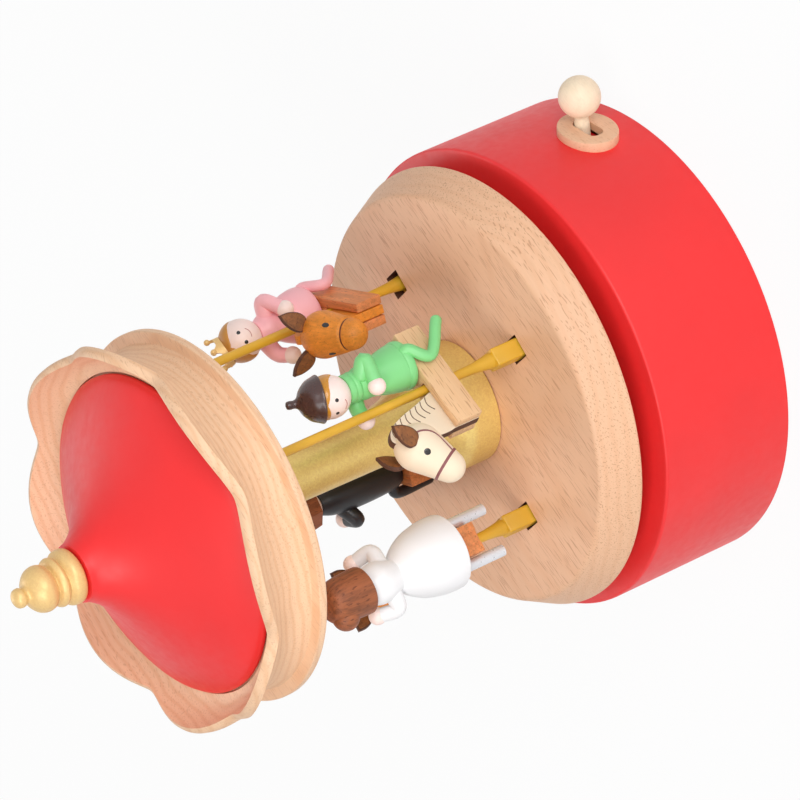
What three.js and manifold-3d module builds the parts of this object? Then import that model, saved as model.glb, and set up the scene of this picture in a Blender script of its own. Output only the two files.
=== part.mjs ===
// Wooden carousel music box: a red drum with a stop lever, a turntable with a gold column and a scalloped
// canopy, and four riders on poles that slide up and down in the turntable while it turns.
// Millimetres, +Z up, origin at the middle of the drum's underside. The front is -Y and the lever is at the
// front right. Each carrier is built in its own frame: +X is the way its horse faces, z = 0 is the shoulder
// of the pole's square foot.
import * as THREE from "three";
import { mergeVertices } from "three/addons/utils/BufferGeometryUtils.js";
import Module from "manifold-3d";

const wasm = await Module();
wasm.setup();

// Gaps and cutting
const clearance = 0.3; // between two pieces that touch or seat in each other
const runningGap = 0.5; // between two pieces that move past each other
const overrun = 2; // how far a cutting tool passes the faces it cuts
const flatCircle = 2 * Math.PI;

// How finely round things are cut
const wideSides = 44; // drum, disc and canopy
const roundSides = 24; // column, finial and movement wheels
const smallSides = 12; // rods and figures
const tinySides = 6; // arms and legs
const headSides = 14; // heads, hair, hat and crown

// Drum
const drumRadius = 71;
const drumHeight = 46;
const drumWall = 8;
const drumDeck = 6;
const drumEdge = 1;
const deckOpeningGap = 11; // from the poles out to the edge of the opening in the deck
const keyRecess = 8.5; // from the rest plane up to the bottom plate
const plateThickness = 3.5;
const shelfHeight = 27; // underside of the shelf that carries the cam
const shelfThickness = 3;
const shelfOpeningRadius = 34.5;
const bridgeWidth = 12;

// Turntable
const discStep = 3; // how far the disc stands inside the drum's face
const discDraft = 5.3; // how far its side slopes in
const discThickness = 11.5;
const discGap = 6.5; // between the drum's top and the disc
const discLip = 0.8; // height of the disc's upright lower edge
const columnRadius = 8.3;
const canopyHeadroom = 9.3; // above the tallest rider's hair
const columnSpigot = 4; // how far the column enters the canopy
const columnSpigotRadius = 6;
const spindleRadius = 2.5;
const spindleCollarRadius = 5;
const spindleCollarHeight = 1.5;
const hubRadius = 11;
const hubThickness = 3;
const spindleEntry = 12; // how far the spindle rises into the column

// Canopy
const canopyFlangeRadius = 56;
const canopyFloorThickness = 14;
const canopyRimOverhang = 2.5; // how far the lobes reach past the flange
const flangeThickness = 2.6;
const flangeEdge = 0.7;
const coveDepth = 5;
const canopyLobes = 8;
const lobeHeight = 24; // top of a lobe above the canopy's underside
const valleyHeight = 19.8; // bottom of a valley above the canopy's underside
const valleyInset = 2;
const lobeTurn = 0.41; // the angle of the first lobe, radians from +X
const roofInset = 8; // from the flange's edge in to the roof's
const roofHeight = 32;
const finialRadius = 8.3;
const finialHeight = 20.4;
const finialPegRadius = 3;
const finialPegLength = 8;

// Poles
const poleInset = 17; // from the flange's edge in to the poles
const saddleRoom = 2.8; // between the column's foot and the end of a saddle that points at it
const poleTurn = 10; // degrees from the axes to the poles
const poleRadius = 1.4;
const footWidth = 5.6;
const poleConeHeight = 11;
const poleHoleWidth = 7;
const poleStroke = 11.5;
const shoulderRise = 9; // foot shoulder above the disc's top when the pole is up
const camCrestGap = 0.3;
const camBase = 1.4; // thickness of the cam ring under its waves
const camRingWidth = 7;
const camLobes = 3;

// Horses
const saddleAhead = 15;
const saddleBehind = 17.5;
const saddleHeight = 8.7;
const plankThickness = 2.8;
const neckThickness = 2.8;
const neckHeight = 19.5;
const horseHeadRadius = 7;
const horseMuzzleRadius = 4.6;
const horseHeadSpan = 10.2; // between the centres of the head's two round ends
const horseHeadForward = 15.2;
const horseHeadHeight = 12.9;
const earLength = 9;
const earThickness = 1.4;

// Height of each saddle's underside above the foot's shoulder
const boySaddleLift = 15.5;
const princessSaddleLift = 18.4;
const brideSaddleLift = 18.9;
const groomSaddleLift = 7;

// Riders
const riderBehind = 9.9; // rider's axis behind the pole
const brideBehind = 13.3;
const riderHeadRadius = 6.3;
const handRadius = 2.6;
const sleeveRadius = 2.2;
const legRadius = 1.7;
const hairThickness = 0.5;
const boyHemRadius = 7.4;
const boyBodyHeight = 21.6;
const princessHemRadius = 8.1;
const princessBodyHeight = 19.5;
const brideHemRadius = 11.3;
const brideBodyHeight = 29.5;
const groomHemRadius = 5.8;
const groomBodyHeight = 28.5;
const hatHeight = 7.7;
const crownHeight = 4.6;
const crownWall = 1.1;
const brideHairHeight = 13.5;
const brideHairBelow = 3.5; // from the head's centre down to the hair's lower edge
const groomHairHeight = 10.5;
const groomHairBelow = 3.2;
const bunRadius = 4;

// Stop lever
const leverAzimuth = -39.5; // degrees from +X to the middle of the slot
const leverSwing = 7; // degrees from the slot's middle to each end
const leverHeight = 16;
const leverPivotInset = 11; // from the drum's inner wall in to the lever's pivot
const leverPegRadius = 2.3;
const leverStandOff = 11.3; // from the drum's face out to the ball's centre
const leverBallRadius = 6.25;
const leverBossRadius = 3.2;
const leverStudRadius = 1.5;
const stopWireRadius = 0.7;
const stopWireRise = 12;
const escutcheonWidth = 19.6;
const escutcheonHeight = 16.8;
const escutcheonThickness = 2.5;

// Music movement
const bedThickness = 2;
const bedWidth = 36;
const bedEnd = 22; // the bedplate's edge on the governor's side
const gearTeeth = 24;
const gearPitchRadius = 9.6;
const toothDepth = 1.5;
const gearThickness = 3;
const barrelRadius = 8;
const barrelWall = 1.2;
const arborRadius = 1.5;
const keyWidth = 22;
const keyThickness = 3;
const keyHeight = 6.8;
const springTurns = 3;
const springThickness = 0.4;
const cylinderRadius = 4.2;
const cylinderLength = 22;
const cylinderArborRadius = 1;
const pinLength = 0.5;
const crownTeeth = 12; // on the barrel, twice the pinion's
const pinionTeeth = 6;
const pinionRadius = 5.3;
const pinionThickness = 1.6;
const crownToothDepth = 1.2;
const postThickness = 1.5;
const combTeeth = 18;
const combLength = 15;
const combThickness = 0.8;
const combSlot = 0.4;
const combBase = 6;
const fanRadius = 4.5;
const fanHeight = 4.5;
const fanThickness = 0.8;
const wormRadius = 1.4;
const governorShaftRadius = 0.7;

// Heights and centres that follow from the sizes
const discBottom = drumHeight + discGap;
const discTop = discBottom + discThickness;
const discLowerRadius = drumRadius - discStep;
const discUpperRadius = discLowerRadius - discDraft;
const cavityRadius = drumRadius - drumWall;
const insertRadius = cavityRadius - clearance;
const plateTop = keyRecess + plateThickness;
const shelfTop = shelfHeight + shelfThickness;
const shoulderUp = discTop + shoulderRise;
const shoulderDown = shoulderUp - poleStroke;
const brideShoulders = shoulderUp + brideSaddleLift + saddleHeight + clearance + brideBodyHeight;
const tallestHair = brideShoulders + riderHeadRadius + brideHairHeight - brideHairBelow;
const canopyBottom = tallestHair + canopyHeadroom;
const columnHeight = canopyBottom - discTop - clearance;
const roofBottom = canopyBottom + canopyFloorThickness + clearance;
const poleRing = canopyFlangeRadius - poleInset; // distance of the poles from the axis
const columnBaseRadius = poleRing - saddleBehind - saddleRoom;
const canopyRimRadius = canopyFlangeRadius + canopyRimOverhang;
const roofRadius = canopyFlangeRadius - roofInset;
const deckOpeningRadius = poleRing + deckOpeningGap;
const leverPivotRadius = cavityRadius - leverPivotInset; // distance of the pivot from the axis
const leverPegLength = drumRadius + leverStandOff - leverPivotRadius; // pivot to the ball's centre
const hairRadius = riderHeadRadius + clearance + hairThickness;
const camCrest = shelfTop + clearance + camBase + poleStroke;
const footBottomDown = camCrest + camCrestGap;
const footLength = shoulderDown - footBottomDown;
const poleTop = canopyBottom + canopyFloorThickness - 2 * clearance;
const bedTop = plateTop + clearance + bedThickness;
const barrelX = -2 * gearPitchRadius;
const cylinderAxisHeight = bedTop + pinionRadius + runningGap;
const crownFace = cylinderAxisHeight + pinionRadius + clearance / 2;
const driveGearBottom = shelfTop + 2 * clearance + spindleCollarHeight;
const cylinderStart = barrelX + barrelRadius + clearance + 1.5 * pinionThickness;
const governorWheelX = cylinderStart + cylinderLength + 2 * postThickness + 4 * runningGap;
const governorY = -(pinionRadius + clearance + wormRadius);

// Colour, roughness and metalness of each finish
const finishes = {
  redPaint: { color: "#e53a3a", roughness: 0.42, metalness: 0 },
  beech: { color: "#e8bf98", roughness: 0.6, metalness: 0 },
  paleWood: { color: "#f3dcbc", roughness: 0.55, metalness: 0 },
  goldPaint: { color: "#d7af50", roughness: 0.38, metalness: 0.55 },
  ochrePaint: { color: "#d9a832", roughness: 0.45, metalness: 0.15 },
  mahogany: { color: "#a5552c", roughness: 0.55, metalness: 0 },
  walnut: { color: "#6e3f26", roughness: 0.6, metalness: 0 },
  creamPaint: { color: "#f5e6c4", roughness: 0.5, metalness: 0 },
  skinPaint: { color: "#f8d3c4", roughness: 0.5, metalness: 0 },
  pinkPaint: { color: "#f29aa4", roughness: 0.5, metalness: 0 },
  greenPaint: { color: "#7ed186", roughness: 0.5, metalness: 0 },
  whitePaint: { color: "#f6f5f3", roughness: 0.45, metalness: 0 },
  blackPaint: { color: "#1c1c20", roughness: 0.4, metalness: 0 },
  brownPaint: { color: "#3b2724", roughness: 0.45, metalness: 0 },
  hairPaint: { color: "#c07a2a", roughness: 0.5, metalness: 0 },
  silverPaint: { color: "#c9ccd2", roughness: 0.35, metalness: 0.6 },
  steel: { color: "#b4b6ba", roughness: 0.3, metalness: 1 },
  brass: { color: "#c8a24c", roughness: 0.35, metalness: 1 },
  plywood: { color: "#d4ab7a", roughness: 0.75, metalness: 0 },
};

const radians = THREE.MathUtils.degToRad;

// A solid for booleans from a closed three.js geometry.
function solid(geometry) {
  const bare = geometry.clone();
  bare.deleteAttribute("normal");
  bare.deleteAttribute("uv");
  const merged = mergeVertices(bare, 1e-4);
  return new wasm.Manifold(
    new wasm.Mesh({
      numProp: 3,
      vertProperties: merged.attributes.position.array,
      triVerts: new Uint32Array(merged.index.array),
    }),
  );
}

// A named mesh with its own material.
function node(name, body, finish) {
  const made = body.getMesh();
  const geometry = new THREE.BufferGeometry();
  geometry.setAttribute("position", new THREE.BufferAttribute(made.vertProperties, 3));
  geometry.setIndex(new THREE.BufferAttribute(made.triVerts, 1));
  const flat = geometry.toNonIndexed();
  flat.computeVertexNormals();
  const mesh = new THREE.Mesh(flat, new THREE.MeshStandardMaterial(finish));
  mesh.name = name;
  return mesh;
}

// A body turned about Z from [radius, height] points, listed from the bottom up along the outside.
function turned(outline, sides = roundSides) {
  const points = outline.map(([radius, height]) => new THREE.Vector2(radius, height));
  return solid(new THREE.LatheGeometry(points, sides).rotateX(Math.PI / 2));
}

// The same, from shares of one radius and one height.
function turnedShares(shares, radius, height, sides = roundSides) {
  return turned(
    shares.map(([r, h]) => [r * radius, h * height]),
    sides,
  );
}

// An upright rod that starts at z = 0.
function rod(radius, length, sides = smallSides) {
  const geometry = new THREE.CylinderGeometry(radius, radius, length, sides);
  return solid(geometry.rotateX(Math.PI / 2).translate(0, 0, length / 2));
}

function block(length, width, height) {
  return solid(new THREE.BoxGeometry(length, width, height));
}

function ball(radius, sides = smallSides) {
  return solid(new THREE.SphereGeometry(radius, sides, sides / 2).rotateX(Math.PI / 2));
}

// A round-ended stick between two points.
function limb(from, to, radius, sides = tinySides) {
  const start = new THREE.Vector3(...from);
  const along = new THREE.Vector3(...to).sub(start);
  const geometry = new THREE.CapsuleGeometry(radius, along.length(), 2, sides);
  const turn = new THREE.Quaternion().setFromUnitVectors(
    new THREE.Vector3(0, 1, 0),
    along.clone().normalize(),
  );
  geometry.applyQuaternion(turn);
  geometry.translate(...start.addScaledVector(along, 1 / 2).toArray());
  return solid(geometry);
}

// A chain of sticks through several points.
function bentLimb(points, radius) {
  return points
    .slice(1)
    .map((point, i) => limb(points[i], point, radius))
    .reduce((whole, next) => whole.add(next));
}

// A flat board cut to an outline in the XZ plane, centred on its thickness along Y.
function board(outline, thickness) {
  const shape = new THREE.Shape(outline.map(([x, z]) => new THREE.Vector2(x, z)));
  const geometry = new THREE.ExtrudeGeometry(shape, { depth: thickness, bevelEnabled: false });
  return solid(geometry.translate(0, 0, -thickness / 2).rotateX(Math.PI / 2));
}

// A flat plate cut to an outline in the XY plane, from z = 0 up.
function plate(outline, thickness) {
  const shape = new THREE.Shape(outline.map(([x, y]) => new THREE.Vector2(x, y)));
  return solid(new THREE.ExtrudeGeometry(shape, { depth: thickness, bevelEnabled: false }));
}

// Points on an arc from one angle to another, in radians.
function arc(centreX, centreY, radius, from, to, steps) {
  return Array.from({ length: steps + 1 }, (_, i) => {
    const angle = from + ((to - from) * i) / steps;
    return [centreX + radius * Math.cos(angle), centreY + radius * Math.sin(angle)];
  });
}

// A spur wheel in the XY plane with a tooth on +X, turned by the given angle.
function gearWheel(teeth, pitchRadius, thickness, turn) {
  const pitch = flatCircle / teeth;
  const tip = pitchRadius + toothDepth / 2;
  const root = pitchRadius - toothDepth / 2 - clearance;
  const tipShare = 0.15;
  const rootShare = 0.3;
  const outline = [];
  for (let i = 0; i < teeth; i++) {
    const middle = turn + i * pitch;
    const corners = [
      [root, -rootShare],
      [tip, -tipShare],
      [tip, tipShare],
      [root, rootShare],
    ];
    for (const [radius, share] of corners) {
      const angle = middle + share * pitch;
      outline.push([radius * Math.cos(angle), radius * Math.sin(angle)]);
    }
  }
  return plate(outline, thickness);
}

// The place of pole number i, counted from the front to the right, back and left.
function poleSpot(i) {
  const angle = radians(poleTurn - 90 + 90 * i);
  return [poleRing * Math.cos(angle), poleRing * Math.sin(angle)];
}

// Base

function drumBody() {
  const rim = arc(drumRadius - drumEdge, drumHeight - drumEdge, drumEdge, 0, Math.PI / 2, 3);
  const shell = turned(
    [
      [cavityRadius, 0],
      [drumRadius, 0],
      ...rim,
      [deckOpeningRadius, drumHeight],
      [deckOpeningRadius, drumHeight - drumDeck],
      [cavityRadius, drumHeight - drumDeck],
      [cavityRadius, 0],
    ],
    wideSides,
  );
  return shell.subtract(leverSlotCutter());
}

// The slot that the lever's peg swings in, cut through the wall and the escutcheon.
function leverSlotCutter() {
  const halfLength =
    (drumRadius + escutcheonThickness - leverPivotRadius) * Math.tan(radians(leverSwing)) + leverPegRadius;
  const depth = drumWall + escutcheonThickness + 2 * overrun;
  return block(depth, 2 * (halfLength + clearance), 2 * (leverPegRadius + clearance))
    .translate([cavityRadius - overrun + depth / 2, 0, leverHeight])
    .rotate([0, 0, leverAzimuth]);
}

function bottomPlate() {
  const [pivotX, pivotY] = leverPivot();
  const disc = rod(insertRadius, plateThickness, wideSides).translate([0, 0, keyRecess]);
  const hole = (radius, x, y) => rod(radius, plateTop + overrun, smallSides).translate([x, y, 0]);
  return disc
    .subtract(hole(arborRadius + clearance, barrelX, 0))
    .subtract(hole(leverStudRadius + clearance, pivotX, pivotY));
}

function camShelf() {
  const ring = rod(insertRadius, shelfThickness, wideSides);
  const openingDepth = shelfThickness + 2 * overrun;
  const opening = rod(shelfOpeningRadius, openingDepth, wideSides).translate([0, 0, -overrun]);
  const bridge = block(bridgeWidth, 2 * shelfOpeningRadius + overrun, shelfThickness).translate([
    0,
    0,
    shelfThickness / 2,
  ]);
  const bearing = rod(spindleRadius + clearance, shelfThickness + 2 * overrun).translate([0, 0, -overrun]);
  return ring.subtract(opening).add(bridge).subtract(bearing).translate([0, 0, shelfHeight]);
}

// A ring whose top runs in waves, so that the feet rise and fall as they pass over it.
function camRing() {
  const bottom = shelfTop + clearance;
  const steps = 8 * camLobes;
  const corners = [];
  for (let i = 0; i < steps; i++) {
    const angle = (flatCircle * i) / steps;
    const top = camCrest - (poleStroke * (1 - Math.cos(camLobes * angle))) / 2;
    for (const radius of [poleRing - camRingWidth / 2, poleRing + camRingWidth / 2]) {
      corners.push([radius * Math.cos(angle), radius * Math.sin(angle), bottom]);
      corners.push([radius * Math.cos(angle), radius * Math.sin(angle), top]);
    }
  }
  // Each step has four corners: inner bottom, inner top, outer bottom, outer top.
  const faces = [];
  for (let i = 0; i < steps; i++) {
    const [innerLow, innerHigh, outerLow, outerHigh] = [0, 1, 2, 3].map((k) => 4 * i + k);
    const [innerLow2, innerHigh2, outerLow2, outerHigh2] = [0, 1, 2, 3].map((k) => 4 * ((i + 1) % steps) + k);
    faces.push(outerLow, outerLow2, outerHigh2, outerLow, outerHigh2, outerHigh);
    faces.push(innerLow, innerHigh, innerHigh2, innerLow, innerHigh2, innerLow2);
    faces.push(innerHigh, outerHigh, outerHigh2, innerHigh, outerHigh2, innerHigh2);
    faces.push(innerLow, innerLow2, outerLow2, innerLow, outerLow2, outerLow);
  }
  const geometry = new THREE.BufferGeometry();
  geometry.setAttribute("position", new THREE.Float32BufferAttribute(corners.flat(), 3));
  geometry.setIndex(faces);
  return solid(geometry);
}

// Stop lever

function leverPivot() {
  const angle = radians(leverAzimuth);
  return [leverPivotRadius * Math.cos(angle), leverPivotRadius * Math.sin(angle)];
}

function leverEscutcheon() {
  const outline = arc(0, 0, 1, 0, flatCircle, roundSides)
    .slice(0, -1)
    .map(([x, y]) => [(x * escutcheonWidth) / 2, (y * escutcheonHeight) / 2]);
  const depth = drumWall + escutcheonThickness;
  return plate(outline, depth)
    .rotate([90, 0, 90])
    .translate([cavityRadius, 0, leverHeight])
    .subtract(rod(drumRadius + clearance, drumHeight, wideSides).rotate([0, 0, -leverAzimuth]))
    .rotate([0, 0, leverAzimuth])
    .subtract(leverSlotCutter());
}

// The peg points outwards from the boss, and the stop wire points inwards and turns up beside the fan.
function stopLever() {
  const [pivotX, pivotY] = leverPivot();
  const pegAngle = radians(leverAzimuth + leverSwing);
  const peg = [leverPegLength * Math.cos(pegAngle), leverPegLength * Math.sin(pegAngle), 0];
  const toFan = new THREE.Vector2(governorWheelX - pivotX, governorY - pivotY);
  toFan.setLength(toFan.length() - fanRadius - stopWireRadius - runningGap);
  const tip = [toFan.x, toFan.y, 0];
  const bossHeight = 2 * (leverHeight - plateTop - clearance);
  const studBottom = -bossHeight / 2 - plateThickness;
  return rod(leverBossRadius, bossHeight)
    .translate([0, 0, -bossHeight / 2])
    .add(rod(leverStudRadius, -studBottom).translate([0, 0, studBottom]))
    .add(limb([0, 0, 0], peg, leverPegRadius, smallSides))
    .add(ball(leverBallRadius, smallSides).translate(peg))
    .add(bentLimb([[0, 0, 0], tip, [tip[0], tip[1], stopWireRise]], stopWireRadius))
    .translate([pivotX, pivotY, leverHeight]);
}

// Music movement

function movementBedplate() {
  const bedBottom = plateTop + clearance;
  const bedStart = barrelX - barrelRadius - arborRadius;
  const length = bedEnd - bedStart;
  const middle = (bedStart + bedEnd) / 2;
  const bed = block(length, bedWidth, bedThickness).translate([middle, 0, bedBottom + bedThickness / 2]);
  const postHeight = cylinderAxisHeight + 2 * cylinderArborRadius - bedBottom;
  const post = block(postThickness, 4 * cylinderArborRadius, postHeight);
  const [nearPost, farPost] = postCentres();
  const combPostTop = cylinderAxisHeight - combThickness / 2 - clearance;
  const combPost = block(cylinderLength, combBase, combPostTop - bedBottom);
  const combPostY = combFront() + combLength - combBase / 2;
  const bracket = governorBracket(bedBottom);
  const arborHole = rod(arborRadius + clearance, bedThickness + 2 * overrun).translate([
    barrelX,
    0,
    bedBottom - overrun,
  ]);
  const cylinderHole = rod(cylinderArborRadius + clearance, length, smallSides)
    .rotate([0, 90, 0])
    .translate([barrelX + barrelRadius, 0, cylinderAxisHeight]);
  return bed
    .add(post.translate([nearPost, 0, bedBottom + postHeight / 2]))
    .add(post.translate([farPost, 0, bedBottom + postHeight / 2]))
    .add(
      combPost.translate([
        (nearPost + farPost) / 2,
        combPostY,
        (bedBottom + cylinderAxisHeight - combThickness / 2 - clearance) / 2,
      ]),
    )
    .add(bracket)
    .subtract(arborHole)
    .subtract(cylinderHole);
}

// The post and arm that hold the top of the governor's shaft, clear of the fan.
function governorBracket(bedBottom) {
  const postY = governorY - fanRadius - runningGap - postThickness / 2;
  const armBottom = fanBottom() + fanHeight + runningGap;
  const height = armBottom + postThickness - bedBottom;
  const post = block(2 * postThickness, postThickness, height).translate([
    governorWheelX,
    postY,
    bedBottom + height / 2,
  ]);
  const armLength = governorY - postY + 2 * postThickness;
  const arm = block(2 * postThickness, armLength, postThickness).translate([
    governorWheelX,
    postY + armLength / 2 - postThickness / 2,
    armBottom + postThickness / 2,
  ]);
  const hole = rod(governorShaftRadius + clearance, postThickness + 2 * overrun).translate([
    governorWheelX,
    governorY,
    armBottom - overrun,
  ]);
  return post.add(arm).subtract(hole);
}

// The two bearing posts of the pinned cylinder, between the pinion, the cylinder and the governor's wheel.
function postCentres() {
  const near = barrelX + barrelRadius + clearance + pinionThickness + runningGap + postThickness / 2;
  return [near, near + postThickness + 2 * runningGap + cylinderLength];
}

function combFront() {
  return cylinderRadius + pinLength + clearance;
}

// A steel plate with one tooth per note, on the bedplate's block behind the cylinder.
function comb() {
  const [nearPost, farPost] = postCentres();
  const left = (nearPost + farPost - cylinderLength) / 2;
  const pitch = cylinderLength / combTeeth;
  const outline = [];
  for (let i = 0; i < combTeeth; i++) {
    const start = left + i * pitch + combSlot / 2;
    const end = start + pitch - combSlot;
    outline.push([start, combLength - combBase], [start, 0], [end, 0], [end, combLength - combBase]);
  }
  outline.push([left + cylinderLength, combLength - combBase]);
  outline.push([left + cylinderLength, combLength], [left, combLength], [left, combLength - combBase]);
  return plate(outline, combThickness).translate([0, combFront(), cylinderAxisHeight - combThickness / 2]);
}

// The barrel turns with its great wheel on top and a ring of downward teeth that drives the cylinder.
function springBarrel() {
  const bottom = bedTop + runningGap;
  const flangeRadius = gearPitchRadius + toothDepth / 2;
  const flangeTop = crownFace + barrelWall;
  const topHeight = driveGearBottom + gearThickness;
  const bore = arborRadius + clearance;
  const inside = barrelRadius - barrelWall;
  const shell = turned(
    [
      [inside, bottom],
      [barrelRadius, bottom],
      [barrelRadius, crownFace],
      [flangeRadius, crownFace],
      [flangeRadius, flangeTop],
      [barrelRadius, flangeTop],
      [barrelRadius, topHeight],
      [bore, topHeight],
      [bore, flangeTop],
      [inside, flangeTop],
      [inside, bottom],
    ],
    headSides,
  );
  const wheelHole = rod(barrelRadius - barrelWall, gearThickness + 2 * overrun, tinySides);
  const wheel = gearWheel(gearTeeth, gearPitchRadius, gearThickness, Math.PI / gearTeeth)
    .subtract(wheelHole.translate([0, 0, -overrun]))
    .translate([0, 0, driveGearBottom]);
  const toothLength = pinionThickness + clearance;
  const tooth = block(toothLength, combThickness, crownToothDepth + barrelWall / 2).translate([
    flangeRadius - toothLength / 2,
    0,
    crownFace - crownToothDepth / 2 + barrelWall / 4,
  ]);
  let whole = shell.add(wheel);
  for (let i = 0; i < crownTeeth; i++) {
    whole = whole.add(tooth.rotate([0, 0, ((i + 1 / 2) * 360) / crownTeeth]));
  }
  return whole.translate([barrelX, 0, 0]);
}

// A spiral strip between the arbor and the barrel's wall.
function mainspring() {
  const inner = arborRadius + 2 * clearance;
  const outer = barrelRadius - barrelWall - clearance - springThickness;
  const steps = springTurns * smallSides;
  const edge = (offset) =>
    Array.from({ length: steps + 1 }, (_, i) => {
      const share = i / steps;
      const radius = inner + (outer - inner) * share + offset;
      const angle = flatCircle * springTurns * share;
      return [radius * Math.cos(angle), radius * Math.sin(angle)];
    });
  const outline = [...edge(springThickness), ...edge(0).reverse()];
  const bottom = bedTop + 2 * runningGap;
  return plate(outline, crownFace - runningGap - bottom).translate([barrelX, 0, bottom]);
}

// The butterfly key in the recess and the arbor that it turns.
function windingKey() {
  const arborTop = driveGearBottom + gearThickness + runningGap;
  const keyTop = keyRecess - clearance;
  const wing = board(
    [
      [-keyWidth / 2, -keyHeight / 2],
      [keyWidth / 2, -keyHeight / 2],
      [keyWidth / 2, keyHeight / 4],
      [keyWidth / 5, keyHeight / 2],
      [-keyWidth / 5, keyHeight / 2],
      [-keyWidth / 2, keyHeight / 4],
    ],
    keyThickness,
  );
  return wing
    .translate([0, 0, keyTop - keyHeight / 2])
    .add(rod(arborRadius, arborTop - keyTop + keyHeight / 2).translate([0, 0, keyTop - keyHeight / 2]))
    .translate([barrelX, 0, 0]);
}

// Built along Z with the pinion first, then laid along X: cylinder, pins and the governor's wheel.
function pinnedCylinder() {
  const start = barrelX + barrelRadius + clearance;
  const [nearPost, farPost] = postCentres();
  const bodyStart = nearPost + postThickness / 2 + runningGap - start;
  const wheelStart = farPost + postThickness / 2 + runningGap - start;
  const pitchRadius = pinionRadius - toothDepth / 2;
  let whole = gearWheel(pinionTeeth, pitchRadius, pinionThickness, 0)
    .add(rod(cylinderArborRadius, wheelStart + pinionThickness))
    .add(rod(cylinderRadius, cylinderLength, roundSides).translate([0, 0, bodyStart]))
    .add(gearWheel(2 * pinionTeeth, pitchRadius, pinionThickness, 0).translate([0, 0, wheelStart]));
  const pitch = cylinderLength / combTeeth;
  const pin = block(2 * pinLength, springThickness, springThickness);
  const pinTurn = 137.5; // degrees from one note's pin to the next
  for (let i = 0; i < combTeeth; i++) {
    whole = whole.add(
      pin.translate([cylinderRadius, 0, bodyStart + (i + 1 / 2) * pitch]).rotate([0, 0, i * pinTurn]),
    );
  }
  // Lying along X with one of the pinion's teeth pointing up.
  return whole.rotate([0, 90, 0]).translate([start, 0, cylinderAxisHeight]);
}

function fanBottom() {
  return cylinderAxisHeight + pinionRadius;
}

// The upright shaft with the worm beside the cylinder's wheel and the two-bladed fan above.
function governor() {
  const bottom = bedTop + clearance;
  const top = fanBottom() + fanHeight + runningGap + postThickness;
  return rod(governorShaftRadius, top - bottom)
    .translate([0, 0, bottom])
    .add(rod(wormRadius, pinionRadius).translate([0, 0, cylinderAxisHeight - pinionRadius / 2]))
    .add(block(2 * fanRadius, fanThickness, fanHeight).translate([0, 0, fanBottom() + fanHeight / 2]))
    .translate([governorWheelX, governorY, 0]);
}

// Turntable

function squareHole(width, height) {
  return block(width, width, height);
}

function turntableDisc() {
  const body = turned(
    [
      [spindleRadius + clearance, discBottom],
      [discLowerRadius - discLip, discBottom],
      [discLowerRadius, discBottom + discLip],
      ...arc(
        discUpperRadius - discLip,
        discTop - discLip,
        discLip,
        Math.atan2(discLowerRadius - discUpperRadius, discThickness),
        Math.PI / 2,
        2,
      ),
      [spindleRadius + clearance, discTop],
      [spindleRadius + clearance, discBottom],
    ],
    wideSides,
  );
  const hole = squareHole(poleHoleWidth, discThickness + 2 * overrun)
    .rotate([0, 0, poleTurn])
    .translate([0, 0, discBottom + discThickness / 2]);
  return [0, 1, 2, 3].reduce((disc, i) => disc.subtract(hole.translate([...poleSpot(i), 0])), body);
}

function turntableSpindle() {
  const bottom = shelfHeight - clearance;
  const top = discTop + spindleEntry;
  const collarBottom = shelfTop + clearance;
  const hubBottom = discBottom - clearance - hubThickness;
  return rod(spindleRadius, top - bottom)
    .translate([0, 0, bottom])
    .add(rod(spindleCollarRadius, spindleCollarHeight).translate([0, 0, collarBottom]))
    .add(rod(hubRadius, hubThickness, roundSides).translate([0, 0, hubBottom]));
}

function driveGear() {
  return gearWheel(gearTeeth, gearPitchRadius, gearThickness, Math.PI)
    .subtract(rod(spindleRadius + clearance, gearThickness + 2 * overrun).translate([0, 0, -overrun]))
    .translate([0, 0, driveGearBottom]);
}

// The column's foot is a short drum with a rounded shoulder, a flare and a slightly tapered shaft.
function column() {
  const footShare = 0.1;
  const shoulderShare = 0.13;
  const flareTopShare = 0.4;
  const footTopShare = 0.93; // the foot's radius above its rounded shoulder
  const shoulderRadius = columnBaseRadius * footTopShare;
  const flareSteps = 8;
  const flarePower = 2.4;
  const flare = Array.from({ length: flareSteps + 1 }, (_, i) => {
    const along = i / flareSteps;
    const inwards = (1 - along) ** flarePower;
    return [
      columnRadius + (shoulderRadius - columnRadius) * inwards,
      columnHeight * (shoulderShare + (flareTopShare - shoulderShare) * along),
    ];
  });
  const topShare = 0.94; // the shaft's radius under the canopy
  const spindleHole = rod(spindleRadius + clearance, spindleEntry + clearance + overrun);
  return turned([
    [0, 0],
    [columnBaseRadius, 0],
    [columnBaseRadius, columnHeight * footShare],
    ...flare,
    [columnRadius * topShare, columnHeight],
    [columnSpigotRadius, columnHeight],
    [columnSpigotRadius, columnHeight + columnSpigot],
    [0, columnHeight + columnSpigot],
  ])
    .translate([0, 0, discTop + clearance])
    .subtract(spindleHole.translate([0, 0, discTop - overrun]));
}

// How far up the canopy's edge is at an angle: 1 on a lobe and 0 in a valley. Broad lobes meet in narrow
// valleys, and the softness rounds the valley's bottom.
function lobeShare(angle) {
  const softness = 0.15;
  const wave = Math.cos((canopyLobes * (angle - lobeTurn)) / 2);
  return (Math.hypot(wave, softness) - softness) / (Math.hypot(1, softness) - softness);
}

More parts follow.
